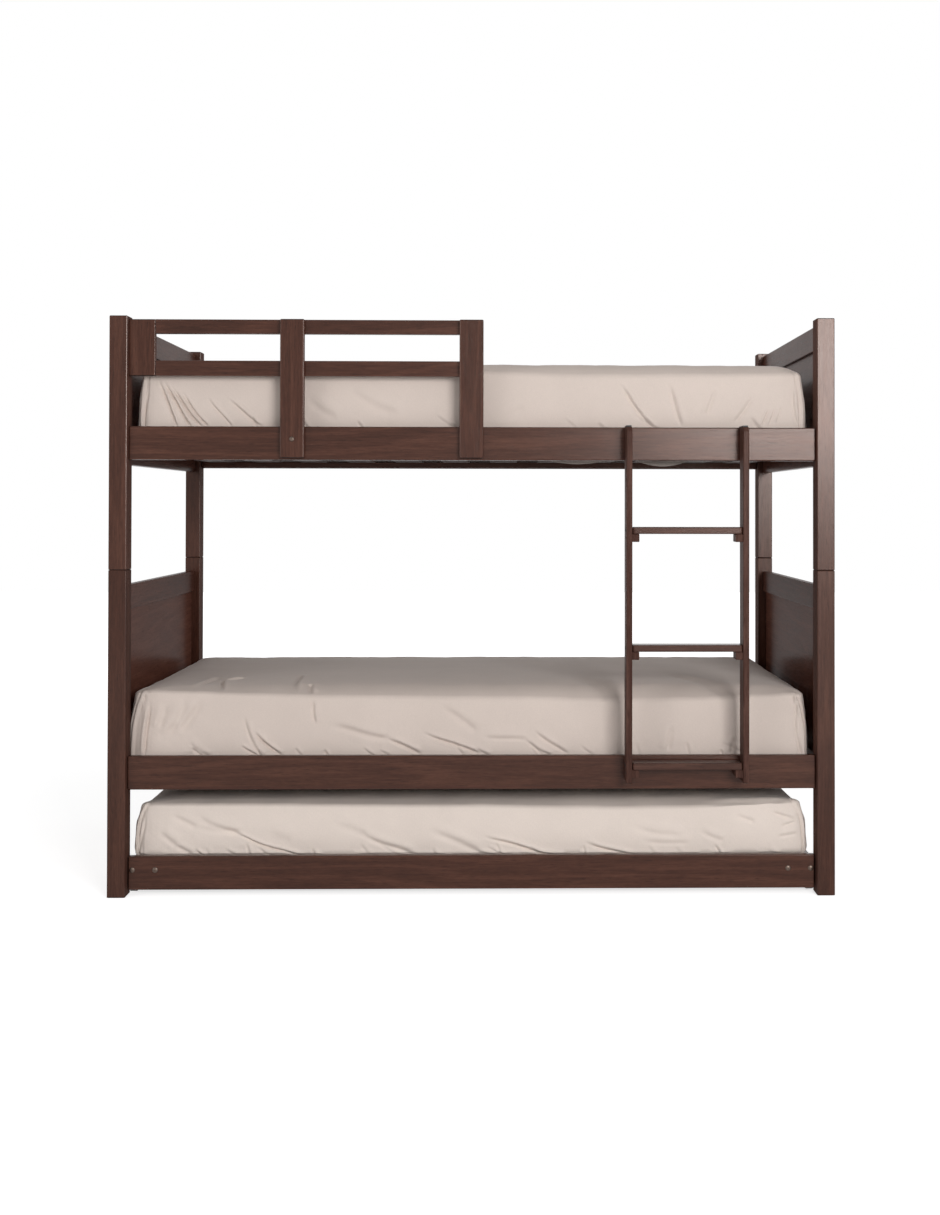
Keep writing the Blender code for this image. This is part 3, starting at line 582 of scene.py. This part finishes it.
beddingSizes = {
    "cornerRadius": 0.038,
    "edgeRadius": 0.008,
    "footRadius": 0.018,
    "step": 0.012,               # grid lines away from the edges
    "edgeLines": (0.0015, 0.003, 0.0045, 0.0065, 0.009, 0.0125, 0.0165, 0.021, 0.027, 0.034, 0.042, 0.051),
    "hemTuck": 0.055,
    "clothThickness": 0.0012,
    "leanSide": 0.003,
    "belly": 0.0045,
    "drawIn": 0.003,
    "edgeDrop": 0.005,           # the back edge and the ends lie this much under the top
    "slopeReach": 0.085,         # how far in from the edge the top starts to fall
    "pipingHeight": 0.0018,
    "pipingWidth": 0.0030,
    "seamHeight": 0.0054,
    "seamWidth": 0.0046,
    "pleatHeight": 0.0046,
    "pleatSpacing": 0.019,
    "pleatReach": 0.060,
    "waver": 0.0016,
    "waverNoises": ((7.0, 1.0, 0), (17.0, 0.7, 3), (55.0, 0.3, 6)),   # scale, share and step of the seed
    "pad": 0.016,                # from the sheet to the mattress in it
}

# The mattress in the sheet has fewer grid lines
mattressLines = {"edgeLines": (0.010, 0.022, 0.036), "step": 0.030}

# Across a fold lie its ridge, its valley and the slope under it: middle and width in the fold's half widths, height
# in its depths. It sways by "sway" m, bows by a share of its length, and fades in and out over shares of it
foldShape = {
    "profile": ((2.2, 1.5, 0.70), (0.0, 1.0, -1.15), (-2.4, 2.6, -0.30)),
    "sway": 0.0022,
    "swayRates": (38.0, 40.0),   # along the fold, and from fold to fold
    "bow": 0.02,
    "fades": (0.40, 0.22),
    "overrun": 1.06,
    "topEnd": 0.2,               # the top's folds lie in front of this share of the half depth
    "splits": ((2, 1.0), (1, 0.0075)),   # cuts for every fold, then for those up to this half width
    "splitReach": 3.4,
    "splitOverrun": 1.05,
    "splitMargin": 0.005,
    "facing": (0.35, 0.4),       # folds fade out where the cloth turns away
}

# Small folds along the foot: margins from the sheet's ends, and the least and most of each measure
tuckSizes = {
    "margins": (0.17, 0.09),
    "rise": (0.014, 0.042),
    "slant": (0.3, 2.4),
    "halfWidth": (0.0030, 0.0048),
    "depth": (0.0014, 0.0034),
    "under": 0.006,
}

# The left corners give way to the posts: how far to the right of them that starts, over which length it comes in, and
# the gap that it keeps
postRoom = {"start": 0.006, "blend": 0.010, "gap": 0.004}

clothSizes = {
    "frames": 16,
    "quality": 5,
    "mass": 0.12,
    "stiffness": 12.0,
    "bending": 0.25,
    "pressure": 3.0,
    "growth": -0.012,            # the cloth is cut this much larger than the mattress, as a share
    "cap": 0.0045,
}


def gridLines(half, sizes):
    # lines from -half to half, close together towards both edges
    edge = [half - offset for offset in (0.0, *sizes["edgeLines"])]
    count = round(2 * edge[-1] / sizes["step"])
    middle = [edge[-1] * (2 * index / count - 1) for index in range(1, count)]
    return [-value for value in edge] + middle + edge[::-1]


def riseLines(height, sizes):
    edge = [height - offset for offset in (0.0, *sizes["edgeLines"])]
    count = round(edge[-1] / sizes["step"])
    return [edge[-1] * index / count for index in range(count)] + edge[::-1]


def blockGrid(xs, ys, zs, tuck):
    # a box surface on three lists of lines, all quads, as (corners, faces); its foot is open further in than tuck
    corners = {}
    faces = []

    def quad(*keys):
        for key in keys:
            corners.setdefault(key, len(corners))
        faces.append(tuple(corners[key] for key in keys))

    lastX, lastY, lastZ = len(xs) - 1, len(ys) - 1, len(zs) - 1
    for i in range(lastX):
        for j in range(lastY):
            quad((i, j, lastZ), (i + 1, j, lastZ), (i + 1, j + 1, lastZ), (i, j + 1, lastZ))
            middleX, middleY = (xs[i] + xs[i + 1]) / 2, (ys[j] + ys[j + 1]) / 2
            inside = abs(middleX) < xs[-1] - tuck and abs(middleY) < ys[-1] - tuck
            if not inside:
                quad((i, j + 1, 0), (i + 1, j + 1, 0), (i + 1, j, 0), (i, j, 0))
    for k in range(lastZ):
        for i in range(lastX):
            quad((i, 0, k), (i + 1, 0, k), (i + 1, 0, k + 1), (i, 0, k + 1))
            quad((i + 1, lastY, k), (i, lastY, k), (i, lastY, k + 1), (i + 1, lastY, k + 1))
        for j in range(lastY):
            quad((0, j + 1, k), (0, j, k), (0, j, k + 1), (0, j + 1, k + 1))
            quad((lastX, j, k), (lastX, j + 1, k), (lastX, j + 1, k + 1), (lastX, j, k + 1))
    return np.array([(xs[i], ys[j], zs[k]) for i, j, k in corners]), faces


def smooth(value):
    value = np.clip(value, 0.0, 1.0)
    return value * value * (3.0 - 2.0 * value)


def bell(offset, width):
    return np.exp(-((offset / width) ** 2))


def roundBlock(points, half, height, sizes):
    # rounds the box: its upright corners in plan, its upper edge and its foot. Returns places and outward directions
    rise = np.where(points[:, 2] < height / 2, sizes["footRadius"], sizes["edgeRadius"])
    corner = np.full(len(points), sizes["cornerRadius"])
    radii = np.stack([corner, corner, rise], axis=1)
    low = np.stack([corner - half[0], corner - half[1], rise], axis=1)
    high = np.stack([half[0] - corner, half[1] - corner, height - rise], axis=1)
    inner = np.clip(points, low, high)
    delta = (points - inner) / radii
    length = np.linalg.norm(delta, axis=1)
    outward = delta / np.maximum(length, 1e-9)[:, None]
    reach = np.abs(delta).max(axis=1)
    return inner + outward * reach[:, None] * radii, outward


def foldField(places, folds, shape):
    # how far folds move the surface of a sheet, at places on its front or its top
    total = np.zeros(len(places))
    fadeIn, fadeOut = shape["fades"]
    alongRate, startRate = shape["swayRates"]
    for start, end, width, depth in folds:
        start, end = np.array(start), np.array(end)
        line = end - start
        long = np.linalg.norm(line)
        line = line / long
        upward = np.array((-line[1], line[0]))
        upward = upward if upward[1] > 0.0 else -upward
        offset = places - start
        run = offset @ line
        sway = shape["sway"] * np.sin(run * alongRate + start[0] * startRate)
        bow = shape["bow"] * long * np.sin(math.pi * np.clip(run / long, 0.0, 1.0))
        side = offset @ upward + sway + bow
        fade = smooth(run / (fadeIn * long)) * smooth((long * shape["overrun"] - run) / (fadeOut * long))
        total += depth * fade * sum(
            tall * bell(side - middle * width, wide * width) for middle, wide, tall in shape["profile"]
        )
    return total


def nearFolds(places, folds, shape):
    # which flat places lie within reach of a fold
    near = np.zeros(len(places), dtype=bool)
    for start, end, width, depth in folds:
        start, end = np.array(start), np.array(end)
        line = end - start
        share = np.clip((places - start) @ line / (line @ line), 0.0, shape["splitOverrun"])
        gap = np.linalg.norm(places - (start + share[:, None] * line), axis=1)
        near |= gap < shape["splitReach"] * width + shape["splitMargin"]
    return near


def waveNoise(points, scale, seed):
    place = Vector((seed * 3.7, seed * 1.3, seed * 5.1))
    return np.array([noise.noise(Vector(point) * scale + place) for point in points])


def readPoints(mesh, what="co"):
    flat = np.empty(len(mesh.vertices) * 3)
    mesh.vertices.foreach_get(what, flat)
    return flat.reshape(-1, 3)


def writePoints(mesh, points):
    mesh.vertices.foreach_set("co", points.ravel())
    mesh.update()


def meshFrom(name, points, faces, material):
    mesh = bpy.data.meshes.new(name)
    mesh.from_pydata([tuple(point) for point in points], [], faces)
    mesh.shade_smooth()
    mesh.materials.append(material)
    piece = bpy.data.objects.new(name, mesh)
    scene.collection.objects.link(piece)
    return piece


def settleCloth(piece, held, setup):
    # a short cloth simulation: the sheet, cut a little large, is blown out from its held foot and its movement capped
    group = piece.vertex_groups.new(name="held")
    group.add([int(index) for index in np.nonzero(held)[0]], 1.0, "REPLACE")
    before = readPoints(piece.data)
    cloth = piece.modifiers.new("settle", "CLOTH")
    settings = cloth.settings
    settings.quality = setup["quality"]
    settings.mass = setup["mass"]
    settings.tension_stiffness = setup["stiffness"]
    settings.compression_stiffness = setup["stiffness"]
    settings.shear_stiffness = setup["stiffness"] / 3
    settings.bending_stiffness = setup["bending"]
    settings.use_pressure = True
    settings.uniform_pressure_force = setup["pressure"]
    settings.vertex_group_mass = "held"
    settings.effector_weights.gravity = 0.0
    settings.shrink_min = setup["growth"]
    cloth.collision_settings.use_collision = False
    cloth.collision_settings.use_self_collision = False
    cloth.point_cache.frame_start = 1
    cloth.point_cache.frame_end = setup["frames"]
    for step in range(1, setup["frames"] + 1):
        scene.frame_set(step)
    evaluated = piece.evaluated_get(bpy.context.evaluated_depsgraph_get())
    after = readPoints(evaluated.data)
    piece.modifiers.remove(cloth)
    piece.vertex_groups.remove(group)
    scene.frame_set(1)
    move = after - before
    length = np.linalg.norm(move, axis=1)
    capped = setup["cap"] * np.tanh(length / setup["cap"])
    move *= (capped / np.maximum(length, 1e-9))[:, None]
    writePoints(piece.data, before + move)
    mean, most = length.mean() * 1000, length.max() * 1000
    print(f"{piece.name}: cloth moved {mean:.2f} mm on average, {most:.2f} mm at most before its cap")


def refineFolds(piece, setup, shape, topEnd):
    # splits the faces along the folds, twice along narrow ones, and on the top only in front of topEnd
    for cuts, widest in shape["splits"]:
        mesh = bmesh.new()
        mesh.from_mesh(piece.data)
        mesh.faces.ensure_lookup_table()
        centers = np.array([face.calc_center_median() for face in mesh.faces])
        normals = np.array([face.normal for face in mesh.faces])
        front, top = ([fold for fold in setup[side] if fold[2] <= widest] for side in ("front", "top"))
        chosen = (normals[:, 1] < -0.5) & nearFolds(centers[:, [0, 2]], front, shape)
        chosen |= (normals[:, 2] > 0.5) & (centers[:, 1] < topEnd) & nearFolds(centers[:, [0, 1]], top, shape)
        edges = {edge for index in np.nonzero(chosen)[0] for edge in mesh.faces[index].edges}
        edges = sorted(edges, key=lambda edge: edge.index)
        bmesh.ops.subdivide_edges(mesh, edges=edges, cuts=cuts, use_grid_fill=True)
        mesh.to_mesh(piece.data)
        mesh.free()
    piece.data.shade_smooth()


def nearEdge(offset, reach):
    return np.clip((offset + reach) / reach, 0.0, 1.0) ** 1.5


def shapeBlock(points, outward, half, height, setup, sizes):
    # crown, lean, belly, drawn-in sides and lowered edges of a mattress that stands at the origin
    share = np.clip(points[:, 2] / height, 0.0, 1.0)
    shareX, shareY = np.abs(points[:, 0]) / half[0], np.abs(points[:, 1]) / half[1]
    lift = setup["crown"] * np.clip(1.0 - shareX ** 4, 0.0, 1.0) * np.clip(1.0 - shareY ** 3, 0.0, 1.0)
    front = np.interp(points[:, 0], *zip(*setup["ridge"]))
    drop = np.where(points[:, 1] < 0.0, front, sizes["edgeDrop"])
    endDrop = np.interp(points[:, 1] / half[1], (-1.0, -0.7), (0.0, 1.0))
    endDrop = front + (sizes["edgeDrop"] - front) * endDrop
    nearSide = nearEdge(np.abs(points[:, 1]) - half[1], sizes["slopeReach"])
    nearEnd = nearEdge(np.abs(points[:, 0]) - half[0], sizes["slopeReach"])
    fall = drop * nearSide + endDrop * nearEnd * (1.0 - nearSide)
    belly = sizes["belly"] * (np.sin(np.pi * share) - 1.0)
    leans = np.where(points[:, 0] < 0.0, *setup["lean"]), sizes["leanSide"]
    for axis, lean, own, other in ((0, leans[0], shareX, shareY), (1, leans[1], shareY, shareX)):
        drawn = np.abs(outward[:, axis]) * (belly - sizes["drawIn"] * (1.0 - other ** 2))
        points[:, axis] += np.sign(points[:, axis]) * (drawn - lean * share ** 2 * own ** 6)
    points[:, 2] += lift * share ** 3 - fall * share
    return share


def sewSheet(box, outward, half, share, seam, sizes):
    # piping along the top edge, a seam up each corner, and gathers over the elastic on the ends beside the seams
    radius, width = sizes["cornerRadius"], sizes["seamWidth"]
    sideways = np.linalg.norm(outward[:, :2], axis=1)
    tilt = np.arctan2(outward[:, 2], sideways)
    piping = sizes["pipingHeight"] * bell((tilt - math.pi / 4) * sizes["edgeRadius"], sizes["pipingWidth"])
    turn = np.arctan2(np.abs(outward[:, 1]), np.abs(outward[:, 0]))
    onSide = np.maximum(half[0] - radius - np.abs(box[:, 0]), 0.0)
    onEnd = np.maximum(half[1] - radius - np.abs(box[:, 1]), 0.0)
    around = onSide - onEnd - (math.pi / 2 - turn) * radius
    across = around - seam[0] - (seam[1] - seam[0]) * share ** 4
    welt = bell(across, width) - 0.5 * bell(np.abs(across) - 2.1 * width, 0.8 * width)
    gather = np.sin(2 * math.pi * across / sizes["pleatSpacing"] + 2.0 * np.sin(across * 31.0) + 3.0 * share)
    beside = smooth((-across - width) / (2.0 * width))
    upTo = 0.35 + 0.55 * beside
    fade = np.exp(-((across / sizes["pleatReach"]) ** 4)) * smooth((upTo - share) / 0.3) * (0.22 + 0.78 * beside)
    upright = smooth(sideways * 1.6)
    return piping + upright * (sizes["seamHeight"] * welt + sizes["pleatHeight"] * gather * fade)


def smallTucks(setup, sizes, seed):
    # short folds that rise from the foot of the front, most of them leaning to the left
    pick = random.Random(seed)
    left, right = setup["ends"][0] + sizes["margins"][0], setup["ends"][1] - sizes["margins"][1]
    folds = []
    for index in range(setup["tucks"]):
        x = left + (right - left) * (index + pick.uniform(0.0, 1.0)) / setup["tucks"]
        rise = pick.uniform(*sizes["rise"])
        run = rise * pick.uniform(*sizes["slant"])
        start, end = (x - run, setup["footShown"] + rise), (x, setup["footShown"] - sizes["under"])
        folds.append((start, end, pick.uniform(*sizes["halfWidth"]), pick.uniform(*sizes["depth"])))
    return folds


# Where the upper sheet's hem hangs out between the slats, seen under the front rail: x from, x to and its lowest z
hemLobes = ((0.179, 0.412, 1.2105), (0.448, 0.632, 1.2045))

hemSizes = {
    "top": 1.2372,
    "depth": -0.404,
    "roundness": 0.6,            # the power of the sine that a lobe's outline follows
    "least": 0.0005,
    "wave": 0.0035,
    "ripples": (9.0, 31.0),      # radians of the broad and the fine ripple along a lobe
    "fineShare": 0.4,
    "twist": 2.0,
    "columns": 48,
    "rows": 7,
}


def hangHem(lobes, sizes, body):
    # the hem's darker cotton is painted shade
    material = cottonMaterial("hemShadeCotton", cottonLooks["hem"], cottonLooks)
    points, faces = [], []
    broad, fine = sizes["ripples"]
    for left, right, lowest in lobes:
        first = len(points)
        for column in range(sizes["columns"] + 1):
            share = column / sizes["columns"]
            reach = (sizes["top"] - lowest) * math.sin(math.pi * share) ** sizes["roundness"] + sizes["least"]
            for row in range(sizes["rows"] + 1):
                down = row / sizes["rows"]
                sway = math.sin(broad * share + sizes["twist"] * down) * down
                sway = sizes["wave"] * (sway + sizes["fineShare"] * math.sin(fine * share))
                points.append((left + (right - left) * share, sizes["depth"] + sway, sizes["top"] - reach * down))
        step = sizes["rows"] + 1
        for column in range(sizes["columns"]):
            for row in range(sizes["rows"]):
                corner = first + column * step + row
                faces.append((corner + 1, corner + step + 1, corner + step, corner))
    hem = meshFrom("upperSheetHem", points, faces, material)
    cloth = hem.modifiers.new("cloth", "SOLIDIFY")
    cloth.thickness = beddingSizes["clothThickness"]
    cloth.offset = 0.0
    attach(hem, body)
    return hem


def clearPosts(points, room):
    # the left corners give way where they go in behind the posts
    front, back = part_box("lower_post_front_left")[1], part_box("lower_post_back_left")[0]
    behind = smooth((front.x + room["start"] - points[:, 0]) / room["blend"])
    points[:, 1] += behind * np.maximum(front.y + room["gap"] - points[:, 1], 0.0)
    points[:, 1] -= behind * np.maximum(points[:, 1] - back.y + room["gap"], 0.0)


def pressFolds(mesh, setup, shape):
    # the folds that show, pressed into the front and the top
    points, normals = readPoints(mesh), readPoints(mesh, "normal")
    least, blend = shape["facing"]
    front = foldField(points[:, [0, 2]], setup["front"], shape) * smooth((-normals[:, 1] - least) / blend)
    top = foldField(points[:, [0, 1]], setup["top"], shape) * smooth((normals[:, 2] - least) / blend)
    points[:, 1] -= front
    points[:, 2] += top
    clearPosts(points, postRoom)
    writePoints(mesh, points)


def stuffMattress(level, setup, sizes, half, height, foot, body):
    # the mattress inside, in its ticking, seen only from below between the slats
    half, height = half - sizes["pad"], height - 2 * sizes["pad"]
    lines = gridLines(half[0], sizes), gridLines(half[1], sizes), riseLines(height, sizes)
    box, faces = blockGrid(*lines, half[0])
    points, outward = roundBlock(box, half, height, sizes)
    shapeBlock(points, outward, half, height, setup, sizes)
    ticking = cottonMaterial(f"{level}Ticking", cottonLooks["ticking"], cottonLooks)
    mattress = meshFrom(f"{level}Mattress", points + foot, faces, ticking)
    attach(mattress, body)
    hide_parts(f"{level}_mattress")


def makeBedding(level, setup, sizes, body, seed):
    low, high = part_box(f"{level}_fitted_sheet")
    low.x, high.x = setup["ends"]
    middle = (low + high) / 2
    setup = setup | {"front": setup["front"] + smallTucks(setup, tuckSizes, seed)}
    half = np.array([(high.x - low.x) / 2, (high.y - low.y) / 2])
    height = high.z - low.z - setup["crown"]
    tuck = sizes["hemTuck"]
    box, faces = blockGrid(gridLines(half[0], sizes), gridLines(half[1], sizes), riseLines(height, sizes), tuck)
    points, outward = roundBlock(box, half, height, sizes)
    share = shapeBlock(points, outward, half, height, setup, sizes)
    points += outward * sewSheet(box, outward, half, share, setup["seam"], sizes)[:, None]

    # slow unevenness of a sheet that was pulled on by hand
    slow = sum(part * waveNoise(points, scale, seed + step) for scale, part, step in sizes["waverNoises"])
    points += outward * (slow * sizes["waver"])[:, None]
    foot = np.array([middle.x, middle.y, low.z])

    cotton = cottonMaterial(f"{level}Cotton", cottonLooks[setup["color"]], cottonLooks)
    sheet = meshFrom(f"{level}Sheet", points + foot, faces, cotton)
    settleCloth(sheet, box[:, 2] < sizes["footRadius"], clothSizes)
    refineFolds(sheet, setup, foldShape, middle.y + foldShape["topEnd"] * half[1])
    pressFolds(sheet.data, setup, foldShape)

    cloth = sheet.modifiers.new("cloth", "SOLIDIFY")
    cloth.thickness = sizes["clothThickness"]
    cloth.offset = -1.0
    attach(sheet, body)
    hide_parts(f"{level}_fitted_sheet")
    extra = [hangHem(hemLobes, hemSizes, body)] if level == "upper" else []

    foot[2] += sizes["clothThickness"] * 2
    stuffMattress(level, setup, sizes | mattressLines, half, height, foot, body)
    reach = readPoints(sheet.data)[:, 0]
    faces = len(sheet.data.polygons)
    print(f"{level} bedding: {faces} faces in the sheet from x {reach.min():.4f} to {reach.max():.4f}")


# Bolts and screws: a tree of Geometry Nodes makes a round head with its key socket on every point

boltSizes = {
    "headRadius": 0.0070,
    "headHeight": 0.0030,
    "socketRadius": 0.0022,
    "socketDepth": 0.0016,
    "sink": 0.0036,
    "spacing": 0.052,
    "boardMiddle": 0.031,        # from a post's outer face to the middle of the side rail's board
    "stileMargin": 0.022,        # from the ends of the guard's left stile
}

trundleBoltSizes = boltSizes | {
    "headRadius": 0.0080,
    "spacing": 0.064,
    "endMargin": 0.011,
    "height": 0.072,
}

guardBoltSizes = {
    "headRadius": 0.0072,
    "headHeight": 0.0032,
    "socketRadius": 0.0040,
    "socketDepth": 0.0024,
}

screwSizes = {
    "headRadius": 0.0038,
    "headHeight": 0.0012,
    "socketRadius": 0.0015,
    "socketDepth": 0.0008,
    "rungShares": (0.28, 0.72),  # where a rung's two screws sit over its depth
    "blockDrop": 0.011,          # from a rung's underside to the screw of its block
}

headMesh = {"Segments": 28, "Rings": 14, "Radius": 1.0}
socketMesh = {"Vertices": 6, "Radius": 1.0, "Depth": 2.0}


def headTree(name, sizes, material):
    tree = bpy.data.node_groups.new(name, "GeometryNodeTree")
    face = tree.interface
    face.new_socket("Geometry", in_out="INPUT", socket_type="NodeSocketGeometry")
    for key in ("headRadius", "headHeight", "socketRadius", "socketDepth"):
        socket = face.new_socket(key, in_out="INPUT", socket_type="NodeSocketFloat")
        socket.default_value = sizes[key]
    face.new_socket("Geometry", in_out="OUTPUT", socket_type="NodeSocketGeometry")
    given = addNode(tree, "NodeGroupInput").outputs

    def vector(x, y, z):
        return addNode(tree, "ShaderNodeCombineXYZ", values={"X": x, "Y": y, "Z": z}).outputs[0]

    def transformed(kind, mesh, changes):
        mesh = addNode(tree, kind, values=mesh).outputs["Mesh"]
        return addNode(tree, "GeometryNodeTransform", values={"Geometry": mesh} | changes).outputs[0]

    # the dome is a sphere pressed flat, with its lower half sunk in the seat
    height = given["headHeight"]
    dome = transformed("GeometryNodeMeshUVSphere", headMesh, {
        "Scale": vector(given["headRadius"], given["headRadius"], height),
    })
    middle = compute(tree, "SUBTRACT", compute(tree, "ADD", height, height), given["socketDepth"])
    cutter = transformed("GeometryNodeMeshCylinder", socketMesh, {
        "Scale": vector(given["socketRadius"], given["socketRadius"], height),
        "Translation": vector(0.0, 0.0, middle),
    })
    head = addNode(tree, "GeometryNodeMeshBoolean", {"operation": "DIFFERENCE", "solver": "EXACT"}, {
        "Mesh 1": dome, "Mesh 2": cutter,
    })
    points = addNode(tree, "GeometryNodeMeshToPoints", values={"Mesh": given["Geometry"]})
    facing = addNode(tree, "GeometryNodeInputNamedAttribute", {"data_type": "FLOAT_VECTOR"}, {"Name": "facing"})
    turn = addNode(tree, "FunctionNodeAlignRotationToVector", {"axis": "Z"}, {"Vector": facing.outputs["Attribute"]})
    copies = addNode(tree, "GeometryNodeInstanceOnPoints", values={
        "Points": points.outputs["Points"],
        "Instance": head.outputs["Mesh"],
        "Rotation": turn.outputs["Rotation"],
    })
    real = addNode(tree, "GeometryNodeRealizeInstances", values={0: copies.outputs[0]})
    painted = addNode(tree, "GeometryNodeSetMaterial", values={"Geometry": real.outputs[0], "Material": material})
    addNode(tree, "NodeGroupOutput", values={"Geometry": painted.outputs[0]})
    return tree


def makeHeads(name, places, sizes, material, body):
    # places are (point on the seat, outward direction)
    mesh = bpy.data.meshes.new(name + "Places")
    mesh.from_pydata([place for place, facing in places], [], [])
    directions = mesh.attributes.new("facing", "FLOAT_VECTOR", "POINT")
    directions.data.foreach_set("vector", [value for place, facing in places for value in facing])
    guide = bpy.data.objects.new(name + "Places", mesh)
    scene.collection.objects.link(guide)
    modifier = guide.modifiers.new("heads", "NODES")
    modifier.node_group = headTree(name + "Tree", sizes, material)
    for item in modifier.node_group.interface.items_tree:
        if item.in_out == "INPUT" and item.name in sizes:
            modifier[item.identifier] = sizes[item.name]
    bpy.context.view_layer.update()
    evaluated = guide.evaluated_get(bpy.context.evaluated_depsgraph_get())
    solid = bpy.data.meshes.new_from_object(evaluated)
    bpy.data.objects.remove(guide, do_unlink=True)
    solid.set_sharp_from_angle(angle=math.radians(38))
    piece = bpy.data.objects.new(name, solid)
    scene.collection.objects.link(piece)
    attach(piece, body)
    print(f"{name}: {len(places)} heads, {len(solid.polygons)} faces")
    return piece


sides = (("left", -1.0), ("right", 1.0))
facingFront = (0.0, -1.0, 0.0)


def outerX(name, sign):
    low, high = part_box(name)
    return low.x if sign < 0 else high.x


def boltPlaces(sizes):
    # two bolts through each post into each side rail, in holes that the posts already have
    places = []
    for level in ("lower", "upper"):
        for depth in ("front", "back"):
            low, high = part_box(f"{level}_side_rail_{depth}")
            middleZ = (low.z + high.z) / 2
            low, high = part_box(f"{level}_post_{depth}_left")
            boardY = low.y + sizes["boardMiddle"] if depth == "front" else high.y - sizes["boardMiddle"]
            for side, sign in sides:
                x = outerX(f"{level}_post_{depth}_{side}", sign) - sign * sizes["sink"]
                for shift in (-0.5, 0.5):
                    places.append(((x, boardY, middleZ + shift * sizes["spacing"]), (sign, 0.0, 0.0)))
    low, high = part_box("guard_left_stile")
    x = outerX("upper_post_front_left", -1.0) + sizes["sink"]
    for z in (low.z + sizes["stileMargin"], high.z - sizes["stileMargin"]):
        places.append(((x, (low.y + high.y) / 2, z), (-1.0, 0.0, 0.0)))
    return places


def trundleBoltPlaces(sizes):
    low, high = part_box("trundle_front_board")
    return [
        ((sign * (high.x - sizes["endMargin"] - shift), low.y, sizes["height"]), facingFront)
        for side, sign in sides
        for shift in (0.0, sizes["spacing"])
    ]


def guardBoltPlaces():
    low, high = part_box("guard_bolt")
    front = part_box("guard_middle_post")[0].y
    return [(((low.x + high.x) / 2, front, (low.z + high.z) / 2), facingFront)]


def ladderScrewPlaces(sizes):
    # two screws into each end of each rung, and one into the block under it
    places = []
    for rung in ("top", "middle", "bottom"):
        low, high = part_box(f"ladder_rung_{rung}")
        spots = [(low.y + share * (high.y - low.y), (low.z + high.z) / 2) for share in sizes["rungShares"]]
        spots.append(((low.y + high.y) / 2, low.z - sizes["blockDrop"]))
        for side, sign in sides:
            x = outerX(f"ladder_stile_{side}", sign)
            places += [((x, y, z), (sign, 0.0, 0.0)) for y, z in spots]
    return places


# Everything together

placeCamera(cameraSetup)
placeLamps()
placeRoom(roomLooks)
print("camera, lamps and floor placed")

dressWood()
print("boards stained")

hard = {name: hardMaterial(name, setup, gritLooks) for name, setup in hardLooks.items()}
for name in nodes:
    for word, material in hardNodes.items():
        if word in name:
            dressNode(name, hard[material])

makeBedding("upper", beds["upper"], beddingSizes, "root", 2)
makeBedding("lower", beds["lower"], beddingSizes, "root", 5)
makeBedding("trundle", beds["trundle"], beddingSizes, "trundle", 9)

makeHeads("frameBolts", boltPlaces(boltSizes), boltSizes, hard["bronzeSteel"], "root")
guardBolt = makeHeads("guardBolt", guardBoltPlaces(), guardBoltSizes, hard["bronzeSteel"], "root")
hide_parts("guard_bolt")
trundlePlaces = trundleBoltPlaces(trundleBoltSizes)
makeHeads("trundleBolts", trundlePlaces, trundleBoltSizes, hard["bronzeSteel"], "trundle")
screwPlaces = ladderScrewPlaces(screwSizes)
makeHeads("ladderScrews", screwPlaces, screwSizes, hard["blackSteel"], "ladder")
